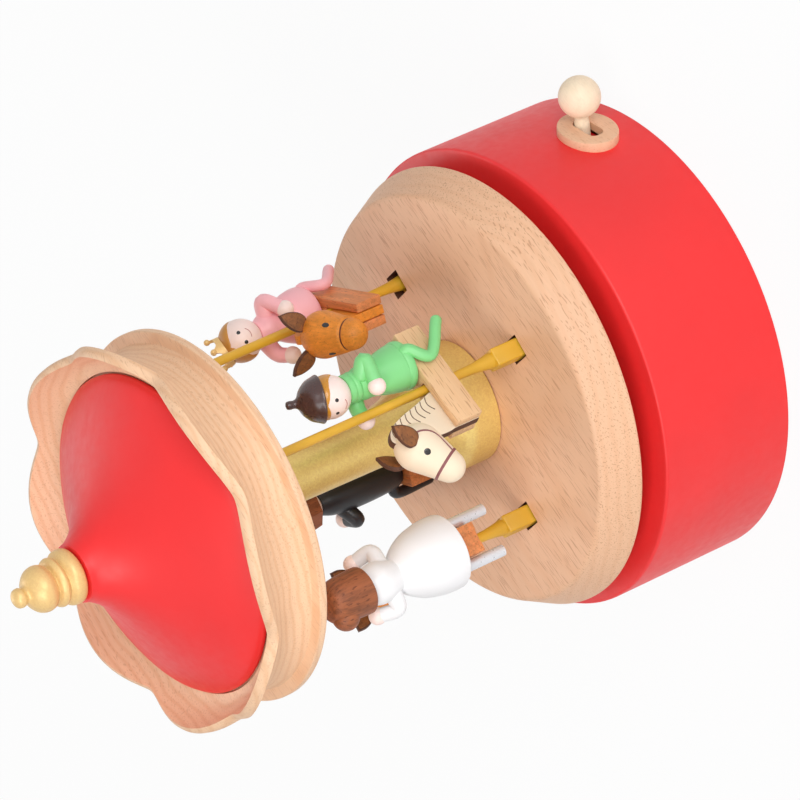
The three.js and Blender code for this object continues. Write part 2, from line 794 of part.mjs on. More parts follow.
// The canopy's section at an angle, from the middle of its underside round the edge to its recess.
function canopySection(angle) {
  const share = lobeShare(angle);
  const ridgeRadius = canopyRimRadius - valleyInset * (1 - share);
  const ridgeHeight = valleyHeight + (lobeHeight - valleyHeight) * share;
  const rise = ridgeHeight - flangeThickness;
  const coveRadius = canopyFlangeRadius - coveDepth;
  const coveLowShare = 0.32;
  const coveHighShare = 0.62;
  const coveReachShare = 0.3;
  const insideHeight = canopyFloorThickness + flangeThickness / 2;
  const recessRadius = roofRadius + runningGap;
  const innerBank = (ridgeRadius + recessRadius) / 2;
  const bankShare = 0.3;
  return [
    [0, 0],
    [canopyFlangeRadius - flangeEdge, 0],
    [canopyFlangeRadius, flangeEdge],
    [canopyFlangeRadius, flangeThickness - flangeEdge],
    [canopyFlangeRadius - flangeEdge, flangeThickness],
    [canopyFlangeRadius - 4 * flangeEdge, flangeThickness + flangeEdge],
    [coveRadius, flangeThickness + rise * coveLowShare],
    [coveRadius + (ridgeRadius - coveRadius) * coveReachShare, flangeThickness + rise * coveHighShare],
    [ridgeRadius - flangeEdge, ridgeHeight - flangeThickness],
    [ridgeRadius, ridgeHeight],
    [innerBank, insideHeight + (ridgeHeight - insideHeight) * bankShare],
    [recessRadius, insideHeight],
    [recessRadius, canopyFloorThickness],
    [0, canopyFloorThickness],
  ];
}

// The section swept round the axis while its edge rises and falls.
function canopyCrown() {
  const steps = 6 * canopyLobes;
  const rings = Array.from({ length: steps }, (_, i) => {
    const angle = (flatCircle * i) / steps;
    return canopySection(angle).map(([r, h]) => [r * Math.cos(angle), r * Math.sin(angle), h]);
  });
  const count = rings[0].length;
  const faces = [];
  for (let i = 0; i < steps; i++) {
    const next = (i + 1) % steps;
    for (let k = 0; k < count - 1; k++) {
      const [a, b] = [i * count + k, next * count + k];
      faces.push(a, b, b + 1, a, b + 1, a + 1);
    }
  }
  const geometry = new THREE.BufferGeometry();
  geometry.setAttribute("position", new THREE.Float32BufferAttribute(rings.flat(2), 3));
  geometry.setIndex(faces);
  const guide = rod(poleRadius + clearance, canopyFloorThickness + 2 * overrun, tinySides).translate([
    0,
    0,
    -overrun,
  ]);
  const spigotHole = rod(columnSpigotRadius + clearance, columnSpigot + clearance + overrun).translate([
    0,
    0,
    -overrun,
  ]);
  return [0, 1, 2, 3]
    .reduce((crown, i) => crown.subtract(guide.translate([...poleSpot(i), 0])), solid(geometry))
    .subtract(spigotHole)
    .translate([0, 0, canopyBottom]);
}

const roofShares = [
  [0, 0],
  [0.985, 0],
  [1, 0.03],
  [1, 0.06],
  [0.965, 0.12],
  [0.85, 0.235],
  [0.7, 0.365],
  [0.53, 0.505],
  [0.385, 0.64],
  [0.27, 0.78],
  [0.2, 0.92],
  [0.18, 1],
  [0, 1],
];

function roofCone() {
  const pegHole = rod(finialPegRadius + clearance, finialPegLength + overrun);
  return turnedShares(roofShares, roofRadius, roofHeight, wideSides)
    .subtract(pegHole.translate([0, 0, roofHeight - finialPegLength - clearance]))
    .translate([0, 0, roofBottom]);
}

const finialShares = [
  [0, 0],
  [0.88, 0],
  [1, 0.07],
  [1, 0.15],
  [0.86, 0.23],
  [0.76, 0.26],
  [0.86, 0.3],
  [0.86, 0.35],
  [0.66, 0.4],
  [0.78, 0.46],
  [0.82, 0.55],
  [0.74, 0.66],
  [0.52, 0.75],
  [0.3, 0.8],
  [0.34, 0.86],
  [0.34, 0.92],
  [0.2, 0.98],
  [0, 1],
];

function finial() {
  return turnedShares(finialShares, finialRadius, finialHeight, headSides)
    .add(rod(finialPegRadius, finialPegLength + overrun / 2).translate([0, 0, -finialPegLength]))
    .translate([0, 0, roofBottom + roofHeight + clearance]);
}

// Carriers

// A square foot, a cone from its shoulder up and a thin round rod that reaches into the canopy.
// The cone over the foot ends under the saddle.
function pole(saddleLift) {
  const coneHeight = Math.min(poleConeHeight, saddleLift);
  const square = block(footWidth, footWidth, footLength).translate([0, 0, -footLength / 2]);
  const cone = new THREE.CylinderGeometry(poleRadius, footWidth / 2, coneHeight, smallSides);
  return square
    .add(solid(cone.rotateX(Math.PI / 2).translate(0, 0, coneHeight / 2)))
    .add(rod(poleRadius, poleTop - shoulderUp));
}

// Two planks with the neck board and the pole between them, joined by a block behind the pole.
function saddleBody() {
  const length = saddleAhead + saddleBehind;
  const middle = (saddleAhead - saddleBehind) / 2;
  const gap = neckThickness + 2 * clearance;
  const plank = block(length, plankThickness, saddleHeight).translate([middle, 0, saddleHeight / 2]);
  const offset = (gap + plankThickness) / 2;
  const blockEnd = -(poleRadius + clearance);
  const spacer = block(saddleBehind + blockEnd, gap + clearance, saddleHeight).translate([
    (blockEnd - saddleBehind) / 2,
    0,
    saddleHeight / 2,
  ]);
  return plank.translate([0, offset, 0]).add(plank.translate([0, -offset, 0])).add(spacer);
}

// Shares of the neck's reach ahead of the pole and of its height above the saddle.
const neckShares = [
  [1, 0],
  [1.02, 0.15],
  [0.98, 0.5],
  [0.9, 0.85],
  [0.72, 1],
  [0.52, 0.96],
  [0.36, 0.82],
  [0.24, 0.6],
  [0.14, 0.32],
  [0, 0],
];

function horseNeck(horse) {
  const back = poleRadius + clearance;
  const reach = saddleAhead - back;
  const outline = neckShares.map(([x, z]) => [back + x * reach, saddleHeight + z * neckHeight]);
  outline.unshift([back, 0], [saddleAhead, 0]);
  return board(outline, neckThickness).subtract(horseHeadEgg(horse, clearance));
}

// The head's turned egg, its axis tipped down, grown all round by a gap.
function horseHeadEgg(horse, grown) {
  const large = horseHeadRadius + grown;
  const small = horseMuzzleRadius + grown;
  const lean = Math.asin((large - small) / horseHeadSpan);
  const back = arc(0, 0, large, -Math.PI / 2, lean, 5);
  const front = arc(0, horseHeadSpan, small, lean, Math.PI / 2, 4);
  const outline = [...back, ...front].map(([r, h]) => [Math.max(r, 0), h]);
  outline[0][0] = 0;
  outline[outline.length - 1][0] = 0;
  return turned(outline, smallSides)
    .rotate([0, 90 + horse.headTilt, 0])
    .translate([horseHeadForward, 0, saddleHeight + horseHeadHeight]);
}

// Half of a leaf: shares of the ear's length along it and across it.
const earShares = [
  [0, 0.12],
  [0.3, 0.3],
  [0.62, 0.26],
  [1, 0],
];

// A leaf-shaped ear that leans outwards, side = 1 on the horse's left and -1 on its right.
function horseEar(horse, side) {
  const near = earShares.map(([x, z]) => [x * earLength, -z * earLength]);
  const far = earShares.slice(0, -1).map(([x, z]) => [x * earLength, z * earLength]);
  const [ahead, out, up] = horse.earSpot.map((share) => share * horseHeadRadius);
  return board([...near, ...far.reverse()], earThickness)
    .rotate([0, -horse.earRise, 0])
    .rotate([0, 0, side * horse.earTurn])
    .translate([horseHeadForward + ahead, side * out, saddleHeight + horseHeadHeight + up]);
}

function horseHead(horse) {
  return horseHeadEgg(horse, 0).add(horseEar(horse, 1)).add(horseEar(horse, -1));
}

const boyBodyShares = [
  [0, 0],
  [0.86, 0],
  [1, 0.07],
  [0.97, 0.18],
  [0.86, 0.34],
  [0.7, 0.5],
  [0.65, 0.64],
  [0.66, 0.76],
  [0.57, 0.83],
  [0.58, 1],
  [0, 1],
];

const princessBodyShares = [
  [0, 0],
  [0.8, 0],
  [0.98, 0.1],
  [1, 0.22],
  [0.9, 0.42],
  [0.66, 0.62],
  [0.58, 0.68],
  [0.6, 0.84],
  [0.48, 0.94],
  [0.42, 1],
  [0, 1],
];

const brideBodyShares = [
  [0, 0],
  [0.93, 0],
  [0.99, 0.04],
  [1, 0.12],
  [0.97, 0.24],
  [0.87, 0.4],
  [0.68, 0.54],
  [0.43, 0.66],
  [0.5, 0.74],
  [0.555, 0.83],
  [0.54, 0.91],
  [0.46, 1],
  [0, 1],
];

const groomBodyShares = [
  [0, 0],
  [0.8, 0],
  [0.93, 0.1],
  [1, 0.35],
  [0.98, 0.65],
  [0.84, 0.86],
  [0.66, 0.96],
  [0.6, 1],
  [0, 1],
];

// The rider's turned body, with a hollow on top that the head rests in. It is grown by a gap when it cuts
// room for itself in a neighbour.
function riderBody(rider, grown) {
  const outline = rider.shares.map(([r, h]) => [
    r ? r * rider.hem + grown : 0,
    h * rider.height + (h ? grown : -grown),
  ]);
  if (!grown) {
    outline[outline.length - 1][1] -= collarRadius(rider) ** 2 / headRise(rider);
  }
  return turned(outline, smallSides);
}

function collarRadius(rider) {
  return rider.shares[rider.shares.length - 2][0] * rider.hem;
}

// How far the head's centre is above the collar that it rests on.
function headRise(rider) {
  return Math.sqrt((riderHeadRadius + clearance) ** 2 - collarRadius(rider) ** 2);
}

// One leg through [x, y, z] points, hanging outside the saddle, side = 1 on the left and -1 on the right.
// Each point's y counts outwards from where a leg clears the saddle's side.
function riderLeg(points, side) {
  const out = plankThickness + neckThickness / 2 + 2 * clearance + legRadius;
  return bentLimb(
    points.map(([x, y, z]) => [x, side * (out + y), z]),
    legRadius,
  );
}

function bothLegs(points) {
  return riderLeg(points, 1).add(riderLeg(points, -1));
}

// A bent sleeve with a round hand at its end.
function riderArm(points) {
  const hand = points[points.length - 1];
  return bentLimb(points, sleeveRadius).add(ball(handRadius, tinySides + 2).translate(hand));
}

// Points of limbs as shares of the head's radius, from the rider's axis and the saddle's top.
const sitLegShares = [
  [-0.1, -0.3, 0.4],
  [-0.1, 0.08, 0.12],
  [0.6, 0.08, -0.7],
  [-0.8, 0.15, -1.95],
];
const hangingLegShares = [
  [-0.1, -0.3, 0.4],
  [-0.1, 0.08, 0.12],
  [-0.05, 0.08, -1.7],
];
const straightLegShares = [
  [0.05, 0, -0.3],
  [0.05, 0, -2.6],
];
const boyArmShares = {
  left: [
    [-0.1, 0.62, 2.6],
    [-0.5, 1, 2.25],
    [0.8, 0.8, 2.4],
  ],
  right: [
    [0, -0.6, 2.75],
    [0.75, -0.85, 2.9],
    [1.45, -0.75, 2.95],
  ],
};
const princessArmShares = {
  left: [
    [0, 0.6, 2.45],
    [0.05, 1.3, 2.4],
    [0.95, 0.85, 1.9],
  ],
  right: [
    [0, -0.6, 2.75],
    [0.55, -1.15, 2.6],
    [1.2, -1.25, 2.25],
  ],
};
const brideArmShares = raisedArms([0, 0.7, 3.55], [0.35, 1.4, 3.5], [1.05, 1.3, 4.2]);
const groomArmShares = raisedArms([0, 0.7, 3.2], [-0.4, 1.35, 2.85], [0.5, 1.45, 2.95]);

// Both arms alike, from the left one's shoulder, elbow and hand.
function raisedArms(...left) {
  return { left, right: left.map(([x, y, z]) => [x, -y, z]) };
}

function scaled(shares) {
  return shares.map((point) => point.map((share) => share * riderHeadRadius));
}

const hatShares = [
  [0, 0],
  [1, 0],
  [1.05, 0.05],
  [1, 0.22],
  [0.84, 0.5],
  [0.54, 0.76],
  [0.24, 0.9],
  [0.17, 1.05],
  [0.19, 1.22],
  [0.12, 1.32],
  [0, 1.34],
];

// An acorn-shaped cap, tipped back on the head.
function boyHat() {
  const tip = 20; // degrees backwards
  const turn = 30; // degrees from the horse's heading to the way the boy looks
  const brimShare = 0.4; // of the head's radius, above its centre
  return turnedShares(hatShares, riderHeadRadius + clearance, hatHeight, headSides)
    .translate([0, 0, brimShare * riderHeadRadius])
    .subtract(ball(riderHeadRadius + clearance, headSides))
    .rotate([0, -tip, turn]);
}

// A flaring ring with five round-ended prongs, tipped back on the head.
function princessCrown() {
  const prongs = 5;
  const tip = 24; // degrees backwards
  const roll = 20; // degrees to the princess's right
  const baseShare = 0.78; // of the head's radius, above its centre
  const flareShare = 1.08;
  const prongFlareShare = 1.14;
  const ringRadius = 0.74 * riderHeadRadius;
  const bandHeight = crownHeight * 0.45;
  let crown = turned(
    [
      [ringRadius - crownWall, 0],
      [ringRadius, 0],
      [ringRadius * flareShare, bandHeight],
      [ringRadius * flareShare - crownWall, bandHeight],
      [ringRadius - crownWall, 0],
    ],
    headSides,
  );
  const root = [ringRadius - crownWall / 2, 0, bandHeight / 2];
  const top = [ringRadius * prongFlareShare, 0, crownHeight - crownWall];
  const prong = limb(root, top, crownWall * 0.45).add(ball(crownWall * 0.85, tinySides).translate(top));
  for (let i = 0; i < prongs; i++) {
    crown = crown.add(prong.rotate([0, 0, (360 * (i + 1 / 2)) / prongs]));
  }
  return crown
    .translate([0, 0, baseShare * riderHeadRadius])
    .rotate([roll, -tip, 0])
    .subtract(ball(riderHeadRadius + 2 * clearance, headSides));
}

const brideHairShares = [
  [0, 0],
  [0.92, 0],
  [1, 0.08],
  [0.98, 0.4],
  [0.93, 0.7],
  [0.8, 0.9],
  [0.62, 1],
  [0, 1],
];
const groomHairShares = [
  [0, 0],
  [0.94, 0],
  [1, 0.25],
  [1, 0.6],
  [0.72, 1],
  [0, 1],
];

// A turned block of hair that hugs the head, open over the face.
function turnedHair(shares, height, below, sides) {
  const faceWidth = 1.5 * riderHeadRadius;
  const faceStart = riderHeadRadius / 3; // ahead of the head's centre
  const fringe = height / 4; // how much hair is left above the face
  const face = block(2 * hairRadius, faceWidth, height);
  return turnedShares(shares, hairRadius, height, sides)
    .translate([0, 0, -below])
    .subtract(ball(riderHeadRadius + clearance, headSides))
    .subtract(face.translate([faceStart + hairRadius, 0, height / 2 - below - fringe]));
}

// A round bun on the left of the bell of hair.
function brideBun() {
  const spotShares = [0, 0.7, 0.8]; // of the hair's radius, from the head's centre
  const bell = turnedShares(brideHairShares, hairRadius + clearance, brideHairHeight, headSides);
  return ball(bunRadius)
    .translate(spotShares.map((share) => share * hairRadius))
    .subtract(bell.translate([0, 0, -brideHairBelow]));
}

// Group of one carrier's meshes in its own frame, whose z = 0 is the foot's shoulder. The pole stands on spot
// number "spot", and "up" says whether it starts at the top of its stroke or at the bottom.
function carrier({ label, spot, up, heading, lift, behind, horse, rider }) {
  const saddleTop = lift + saddleHeight;
  const shoulder = up ? shoulderUp : shoulderDown;
  const seat = [-behind, 0, saddleTop + clearance];
  const pieces = new THREE.Group();
  const add = (name, body, look) => pieces.add(node(label + "_" + name, body, look));
  const bodyRoom = riderBody(rider, clearance).translate(seat);
  const rodRoom = rod(poleRadius + clearance, poleTop);
  const headSpot = [-behind, 0, saddleTop + clearance + rider.height + headRise(rider)];
  const hips = [-behind, 0, saddleTop];
  let body = riderBody(rider, 0).translate(seat);
  if (rider.legs) {
    body = body.add(bothLegs(scaled(rider.legs)).translate(hips));
  }

  add("pole", pole(lift).rotate([0, 0, poleTurn - heading]), finishes.ochrePaint);
  add("saddle", saddleBody().translate([0, 0, lift]), horse.saddle);
  add("horse_neck", horseNeck(horse).translate([0, 0, lift]), horse.paint);
  add("horse_head", horseHead(horse).translate([0, 0, lift]), horse.paint);
  add("body", body, rider.finish);
  add("head", ball(riderHeadRadius, headSides).translate(headSpot), finishes.skinPaint);
  for (const [side, shares] of Object.entries(rider.arms)) {
    const arm = riderArm(scaled(shares)).translate(hips);
    add("arm_" + side, arm.subtract(bodyRoom).subtract(rodRoom), rider.finish);
  }
  for (const [name, made, look] of rider.extras) {
    add(name, made.translate(headSpot).subtract(bodyRoom), look);
  }
  if (rider.stiffLegs) {
    add("leg_left", riderLeg(scaled(rider.stiffLegs), 1).translate(hips), finishes.silverPaint);
    add("leg_right", riderLeg(scaled(rider.stiffLegs), -1).translate(hips), finishes.silverPaint);
  }
  pieces.rotation.z = radians(heading);
  pieces.position.set(...poleSpot(spot), shoulder);
  return pieces;
}

// Head and ears in degrees: headTilt below level, earRise above level and earTurn from straight ahead.
// earSpot holds shares of the head's radius, from the head's centre ahead, out and up to the ear's root.
const brownHorse = {
  saddle: finishes.mahogany,
  paint: finishes.mahogany,
  headTilt: 27,
  earRise: 50,
  earTurn: 108,
  earSpot: [-0.25, 0.55, 0.6],
};
const nosyHorse = { ...brownHorse, headTilt: 18 };
const paleHorse = {
  saddle: finishes.beech,
  paint: finishes.creamPaint,
  headTilt: 27,
  earRise: 35,
  earTurn: 155,
  earSpot: [0.15, 0.8, 0.45],
};

const boy = {
  shares: boyBodyShares,
  hem: boyHemRadius,
  height: boyBodyHeight,
  legs: sitLegShares,
  arms: boyArmShares,
  finish: finishes.greenPaint,
  extras: [["hat", boyHat(), finishes.brownPaint]],
};
const princess = {
  shares: princessBodyShares,
  hem: princessHemRadius,
  height: princessBodyHeight,
  legs: sitLegShares,
  arms: princessArmShares,
  finish: finishes.pinkPaint,
  extras: [["crown", princessCrown(), finishes.goldPaint]],
};
const groom = {
  shares: groomBodyShares,
  hem: groomHemRadius,
  height: groomBodyHeight,
  legs: hangingLegShares,
  arms: groomArmShares,
  finish: finishes.blackPaint,
  extras: [["hair", turnedHair(groomHairShares, groomHairHeight, groomHairBelow, 8), finishes.walnut]],
};
const bride = {
  shares: brideBodyShares,
  hem: brideHemRadius,
  height: brideBodyHeight,
  stiffLegs: straightLegShares,
  arms: brideArmShares,
  finish: finishes.whitePaint,
  extras: [
    ["hair", turnedHair(brideHairShares, brideHairHeight, brideHairBelow, headSides), finishes.walnut],
    ["hair_bun", brideBun(), finishes.walnut],
  ],
};

// The whole box

const box = new THREE.Group();
box.name = "music_box";
box.add(
  node("base_drum", drumBody(), finishes.redPaint),
  node("bottom_plate", bottomPlate(), finishes.plywood),
  node("cam_shelf", camShelf(), finishes.plywood),
  node("cam_ring", camRing(), finishes.beech),
  node("movement_bedplate", movementBedplate(), finishes.brass),
  node("comb", comb(), finishes.steel),
  node("lever_escutcheon", leverEscutcheon(), finishes.beech),
  node("stop_lever", stopLever(), finishes.paleWood),
  node("winding_key", windingKey(), finishes.brass),
  node("spring_barrel", springBarrel(), finishes.brass),
  node("mainspring", mainspring(), finishes.steel),
  node("pinned_cylinder", pinnedCylinder(), finishes.brass),
  node("governor", governor(), finishes.steel),
  node("turntable_disc", turntableDisc(), finishes.beech),
  node("turntable_spindle", turntableSpindle(), finishes.steel),
  node("drive_gear", driveGear(), finishes.brass),
  node("column", column(), finishes.goldPaint),
  node("canopy_crown", canopyCrown(), finishes.beech),
  node("roof_cone", roofCone(), finishes.redPaint),
  node("finial", finial(), finishes.goldPaint),
  carrier({
    label: "boy",
    spot: 0,
    up: true,
    heading: 203,
    lift: boySaddleLift,
    behind: riderBehind,
    horse: paleHorse,
    rider: boy,
  }),
  carrier({
    label: "princess",
    spot: 1,
    up: false,
    heading: 250,
    lift: princessSaddleLift,
    behind: riderBehind,
    horse: nosyHorse,
    rider: princess,
  }),
  carrier({
    label: "groom",
    spot: 2,
    up: false,
    heading: 68,
    lift: groomSaddleLift,
    behind: riderBehind,
    horse: brownHorse,
    rider: groom,
  }),
  carrier({
    label: "bride",
    spot: 3,
    up: true,
    heading: 94,
    lift: brideSaddleLift,
    behind: brideBehind,
    horse: brownHorse,
    rider: bride,
  }),
);

export default box;
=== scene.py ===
"""Fine surfaces and finishes of a wooden carousel music box, laid out as an add-on and run as a script.

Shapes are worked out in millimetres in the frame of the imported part, +Z up with the front at -Y, and become
metres when a mesh is made. A carrier is one pole with its horse and its rider. Its pieces are worked out in
its own frame: +X is the way its horse faces, +Y is the horse's left and z = 0 is its saddle's underside."""

import math

import bmesh
import bpy
import numpy as np
from bpy.props import FloatProperty, FloatVectorProperty, PointerProperty
from mathutils import Matrix, Vector


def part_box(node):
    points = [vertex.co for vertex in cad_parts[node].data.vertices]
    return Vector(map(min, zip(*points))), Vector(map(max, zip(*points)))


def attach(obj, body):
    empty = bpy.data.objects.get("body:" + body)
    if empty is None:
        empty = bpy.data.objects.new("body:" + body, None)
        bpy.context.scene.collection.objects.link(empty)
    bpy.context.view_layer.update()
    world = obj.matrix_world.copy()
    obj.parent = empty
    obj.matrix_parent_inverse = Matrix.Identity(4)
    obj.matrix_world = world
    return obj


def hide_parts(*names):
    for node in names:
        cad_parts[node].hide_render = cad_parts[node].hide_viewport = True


bl_info = {
    "name": "Carousel music box",
    "version": (1, 0, 0),
    "blender": (4, 5, 0),
    "location": "3D view > Sidebar > Music box",
    "description": "Fine surfaces and finishes of a wooden carousel music box",
    "category": "Object",
}

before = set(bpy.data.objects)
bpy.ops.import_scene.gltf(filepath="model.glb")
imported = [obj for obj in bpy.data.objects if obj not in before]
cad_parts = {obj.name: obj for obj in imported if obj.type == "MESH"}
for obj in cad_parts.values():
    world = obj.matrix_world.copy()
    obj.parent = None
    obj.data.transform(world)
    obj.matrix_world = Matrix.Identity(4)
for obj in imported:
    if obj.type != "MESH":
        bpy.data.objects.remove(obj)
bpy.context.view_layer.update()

MM = 0.001
GAP = 0.3  # between two pieces that are glued together or move past each other
FULL_TURN = 2 * math.pi

# How many sides a round shape has
FINE_SIDES = 160  # drum, disc, roof and crown
COLUMN_SIDES = 96
ROUND_SIDES = 72  # finial, lever and key
BODY_SIDES = 48  # bodies, cap and the bride's hair
HEAD_SIDES = 40
LIMB_SIDES = 20
LINE_SIDES = 8  # thin painted and burnt lines

# The angle in degrees from which an edge between two faces stays sharp
SHARP_ANGLE = 35
TURNED_SHARP_ANGLE = 50  # canopy, bodies and the bride's hair
SOFT_SHARP_ANGLE = 60  # finial, cap and limbs
CROWN_SHARP_ANGLE = 40
FACET_SHARP_ANGLE = 10  # the groom's hair


def linear(code):
    """The linear colour of an sRGB hex code."""
    shares = [int(code[i : i + 2], 16) / 255 for i in (1, 3, 5)]
    return tuple(s / 12.92 if s <= 0.04045 else ((s + 0.055) / 1.055) ** 2.4 for s in shares)


# Sizes and colours that a user would change


def length(name, description, millimetres):
    """A length in millimetres, kept as a plain number."""
    return FloatProperty(name=name, description=description, default=millimetres, min=0.0)


def colour(name, description, code):
    """A base colour, from its sRGB hex code."""
    shares = linear(code)
    return FloatVectorProperty(name=name, description=description, subtype="COLOR", size=3, default=shares)


class MusicBoxSizes(bpy.types.PropertyGroup):
    """Lengths in millimetres that aren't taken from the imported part."""

    drum_edge: length("Drum edge", "Rounding of the drum's upper edge in mm", 1.0)
    disc_edge: length("Disc edge", "Rounding between the disc's top and its sloping side in mm", 1.4)
    board_edge: length("Board edge", "Rounding of the saddles' and necks' edges in mm", 0.3)
    eye_radius: length("Eye radius", "Radius of a doll's painted eye in mm", 0.64)
    mane_line: length("Mane line", "Width of a burnt line on the pale horse's neck in mm", 0.28)
    ring_spacing: length("Ring spacing", "Distance between two growth rings of the beech in mm", 3.0)
    fleck_length: length("Fleck length", "Length of a short dark fleck in the beech in mm", 5.6)


class MusicBoxColours(bpy.types.PropertyGroup):
    """Base colours of the finishes."""

    red: colour("Red lacquer", "Drum and roof", "#EE2B2D")
    beech: colour("Beech", "Disc", "#EDBE9A")
    saddle_beech: colour("Saddle beech", "The pale horse's saddle", "#F0C496")
    pale_wood: colour("Pale wood", "Ball and peg of the lever", "#F7E3C6")
    gold: colour("Gold paint", "Column", "#F8D884")
    finial_gold: colour("Finial gold", "Finial and crown", "#F6CC88")
    ochre: colour("Ochre paint", "Poles", "#DDAA2E")
    mahogany: colour("Stained wood", "Brown horses' heads and necks", "#E58C2E")
    saddle_brown: colour("Brown saddle", "Brown horses' saddles", "#DD8A52")
    walnut: colour("Walnut", "Turned hair", "#9A5732")
    ear_brown: colour("Ear brown", "Horses' ears", "#8A5328")
    cream: colour("Cream paint", "Pale horse", "#F7E2C6")
    skin: colour("Skin paint", "Heads and hands", "#FFE6DE")
    pink: colour("Pink paint", "Princess's dress", "#FFBAC0")
    green: colour("Green paint", "Boy's tunic", "#84D688")
    white: colour("White paint", "Bride's dress", "#F4F3F4")
    black: colour("Black paint", "Groom's coat", "#1B1B20")
    hat: colour("Hat brown", "Boy's cap", "#472E2B")
    fringe: colour("Fringe", "Boy's painted hair", "#CE8A1C")
    princess_hair: colour("Princess's hair", "Princess's painted hair", "#CC8E3C")
    strap: colour("Strap", "Pale horse's bridle", "#8B5152")
    silver: colour("Silver paint", "Bride's legs", "#ECEDF2")


# Curves and surfaces


def through(points, steps=6):
    """A curve through the points: a Catmull-Rom cubic between each two neighbours."""
    inner = np.asarray(points, float)
    p = np.vstack([2 * inner[0] - inner[1], inner, 2 * inner[-1] - inner[-2]])
    a, b, c, d = p[:-3], p[1:-2], p[2:-1], p[3:]
    t = np.linspace(0, 1, steps, endpoint=False)[:, None, None]
    curve = (2 * b + (c - a) * t + (2 * a - 5 * b + 4 * c - d) * t**2 + (3 * b - a - 3 * c + d) * t**3) / 2
    return np.vstack([curve.transpose(1, 0, 2).reshape(-1, inner.shape[1]), inner[-1]])


def rounded(corners, steps=5):
    """An outline of [x, y, reach] corners: each becomes a parabola that leaves its sides one reach away."""
    values = np.asarray(corners, float)
    corner, reach = values[:, :2], values[:, 2:]
    back = np.roll(corner, 1, 0) - corner
    ahead = np.roll(corner, -1, 0) - corner
    back /= np.maximum(np.linalg.norm(back, axis=1, keepdims=True), 1e-9)
    ahead /= np.maximum(np.linalg.norm(ahead, axis=1, keepdims=True), 1e-9)
    t = np.linspace(0, 1, steps + 1)[:, None, None]
    start, end = corner + back * reach, corner + ahead * reach
    curve = (1 - t) ** 2 * start + 2 * t * (1 - t) * corner + t**2 * end
    flat = curve.transpose(1, 0, 2).reshape(-1, 2)
    apart = np.linalg.norm(np.diff(flat, axis=0), axis=1) > 1e-6
    return flat[np.concatenate([[True], apart])]


def rectangle(half_width, half_height, reach, steps):
    """The outline of a rectangle about the origin, with rounded corners."""
    x, z = half_width, half_height
    return rounded([[-x, -z, reach], [x, -z, reach], [x, z, reach], [-x, z, reach]], steps)


def turned(profile, sides=ROUND_SIDES):
    """Rings of a turned shape: each [radius, height] of the profile runs once round the Z axis."""
    radius, height = np.asarray(profile, float).T
    angle = np.linspace(0, FULL_TURN, sides, endpoint=False)
    ring = np.stack([np.cos(angle), np.sin(angle), np.zeros(sides)], -1)
    return np.maximum(radius, 0)[:, None, None] * ring + height[:, None, None] * np.array([0, 0, 1.0])


def carried(path, radii, sides=LIMB_SIDES):
    """Rings along a path: at each point a circle of its radius, square to the path."""
    path = np.asarray(path, float)
    radii = np.broadcast_to(np.asarray(radii, float), len(path))
    along = np.gradient(path, axis=0)
    along /= np.linalg.norm(along, axis=1, keepdims=True)
    # Each circle is laid out from the axis that the path runs along least.
    fixed = np.eye(3)[int(np.argmin(np.abs(along).mean(0)))]
    side = np.cross(along, fixed)
    side /= np.linalg.norm(side, axis=1, keepdims=True)
    up = np.cross(side, along)
    angle = np.linspace(0, FULL_TURN, sides, endpoint=False)[None, :, None]
    circle = np.cos(angle) * side[:, None] + np.sin(angle) * up[:, None]
    return path[:, None] + radii[:, None, None] * circle


def round_ended(points, radii, steps):
    """A limb: a curve through the points with a half ball at each end, as rings that shrink to its tips."""
    path = through(points, steps)
    widths = np.interp(np.linspace(0, 1, len(path)), np.linspace(0, 1, len(radii)), radii)
    latitude = np.radians(np.linspace(90, 0, 7))[:-1, None]
    first, last = path[0] - path[1], path[-1] - path[-2]
    first, last = first / np.linalg.norm(first), last / np.linalg.norm(last)
    head = path[0] + first * widths[0] * np.sin(latitude)
    tail = (path[-1] + last * widths[-1] * np.sin(latitude))[::-1]
    ends = np.maximum(np.cos(latitude[:, 0]), 1e-3)
    radii_along = np.concatenate([widths[0] * ends, widths, widths[-1] * ends[::-1]])
    return carried(np.vstack([head, path, tail]), radii_along)


def slab(outline, thickness, edge):
    """A board in the XZ plane: the outline is carried through its thickness along Y, and near both faces it
    is drawn in along a quarter circle, which rounds the edge."""
    outline = np.asarray(outline, float)
    along = np.roll(outline, -1, 0) - np.roll(outline, 1, 0)
    along /= np.maximum(np.linalg.norm(along, axis=1, keepdims=True), 1e-9)
    area = np.sum(outline[:, 0] * np.roll(outline[:, 1], -1) - np.roll(outline[:, 0], -1) * outline[:, 1])
    outward = np.stack([along[:, 1], -along[:, 0]], -1) * np.sign(area)
    quarter = np.radians([0, 45, 90])
    depth = thickness / 2 - edge * (1 - np.sin(quarter))
    inset = edge * (1 - np.cos(quarter))
    offsets = np.concatenate([-depth[::-1], depth])
    insets = np.concatenate([inset[::-1], inset])
    rings = outline[None] - insets[:, None, None] * outward[None]
    across = np.broadcast_to(offsets[:, None], rings.shape[:2])
    return np.stack([rings[..., 0], across, rings[..., 1]], -1)


def block(low, high, edge):
    """A board whose outline is a rectangle, between two corners."""
    low, high = np.asarray(low, float), np.asarray(high, float)
    size, middle = high - low, (low + high) / 2
    return slab(rectangle(size[0] / 2, size[2] / 2, edge, 3), size[1], edge) + middle


def turn(points, axis, degrees):
    """Points turned about an axis through the origin."""
    return points @ np.array(Matrix.Rotation(math.radians(degrees), 3, axis)).T


def plug(radius, bottom, top, sides=ROUND_SIDES):
    """A plain round bar about the Z axis."""
    return turned([[0, bottom], [radius, bottom], [radius, top], [0, top]], sides)


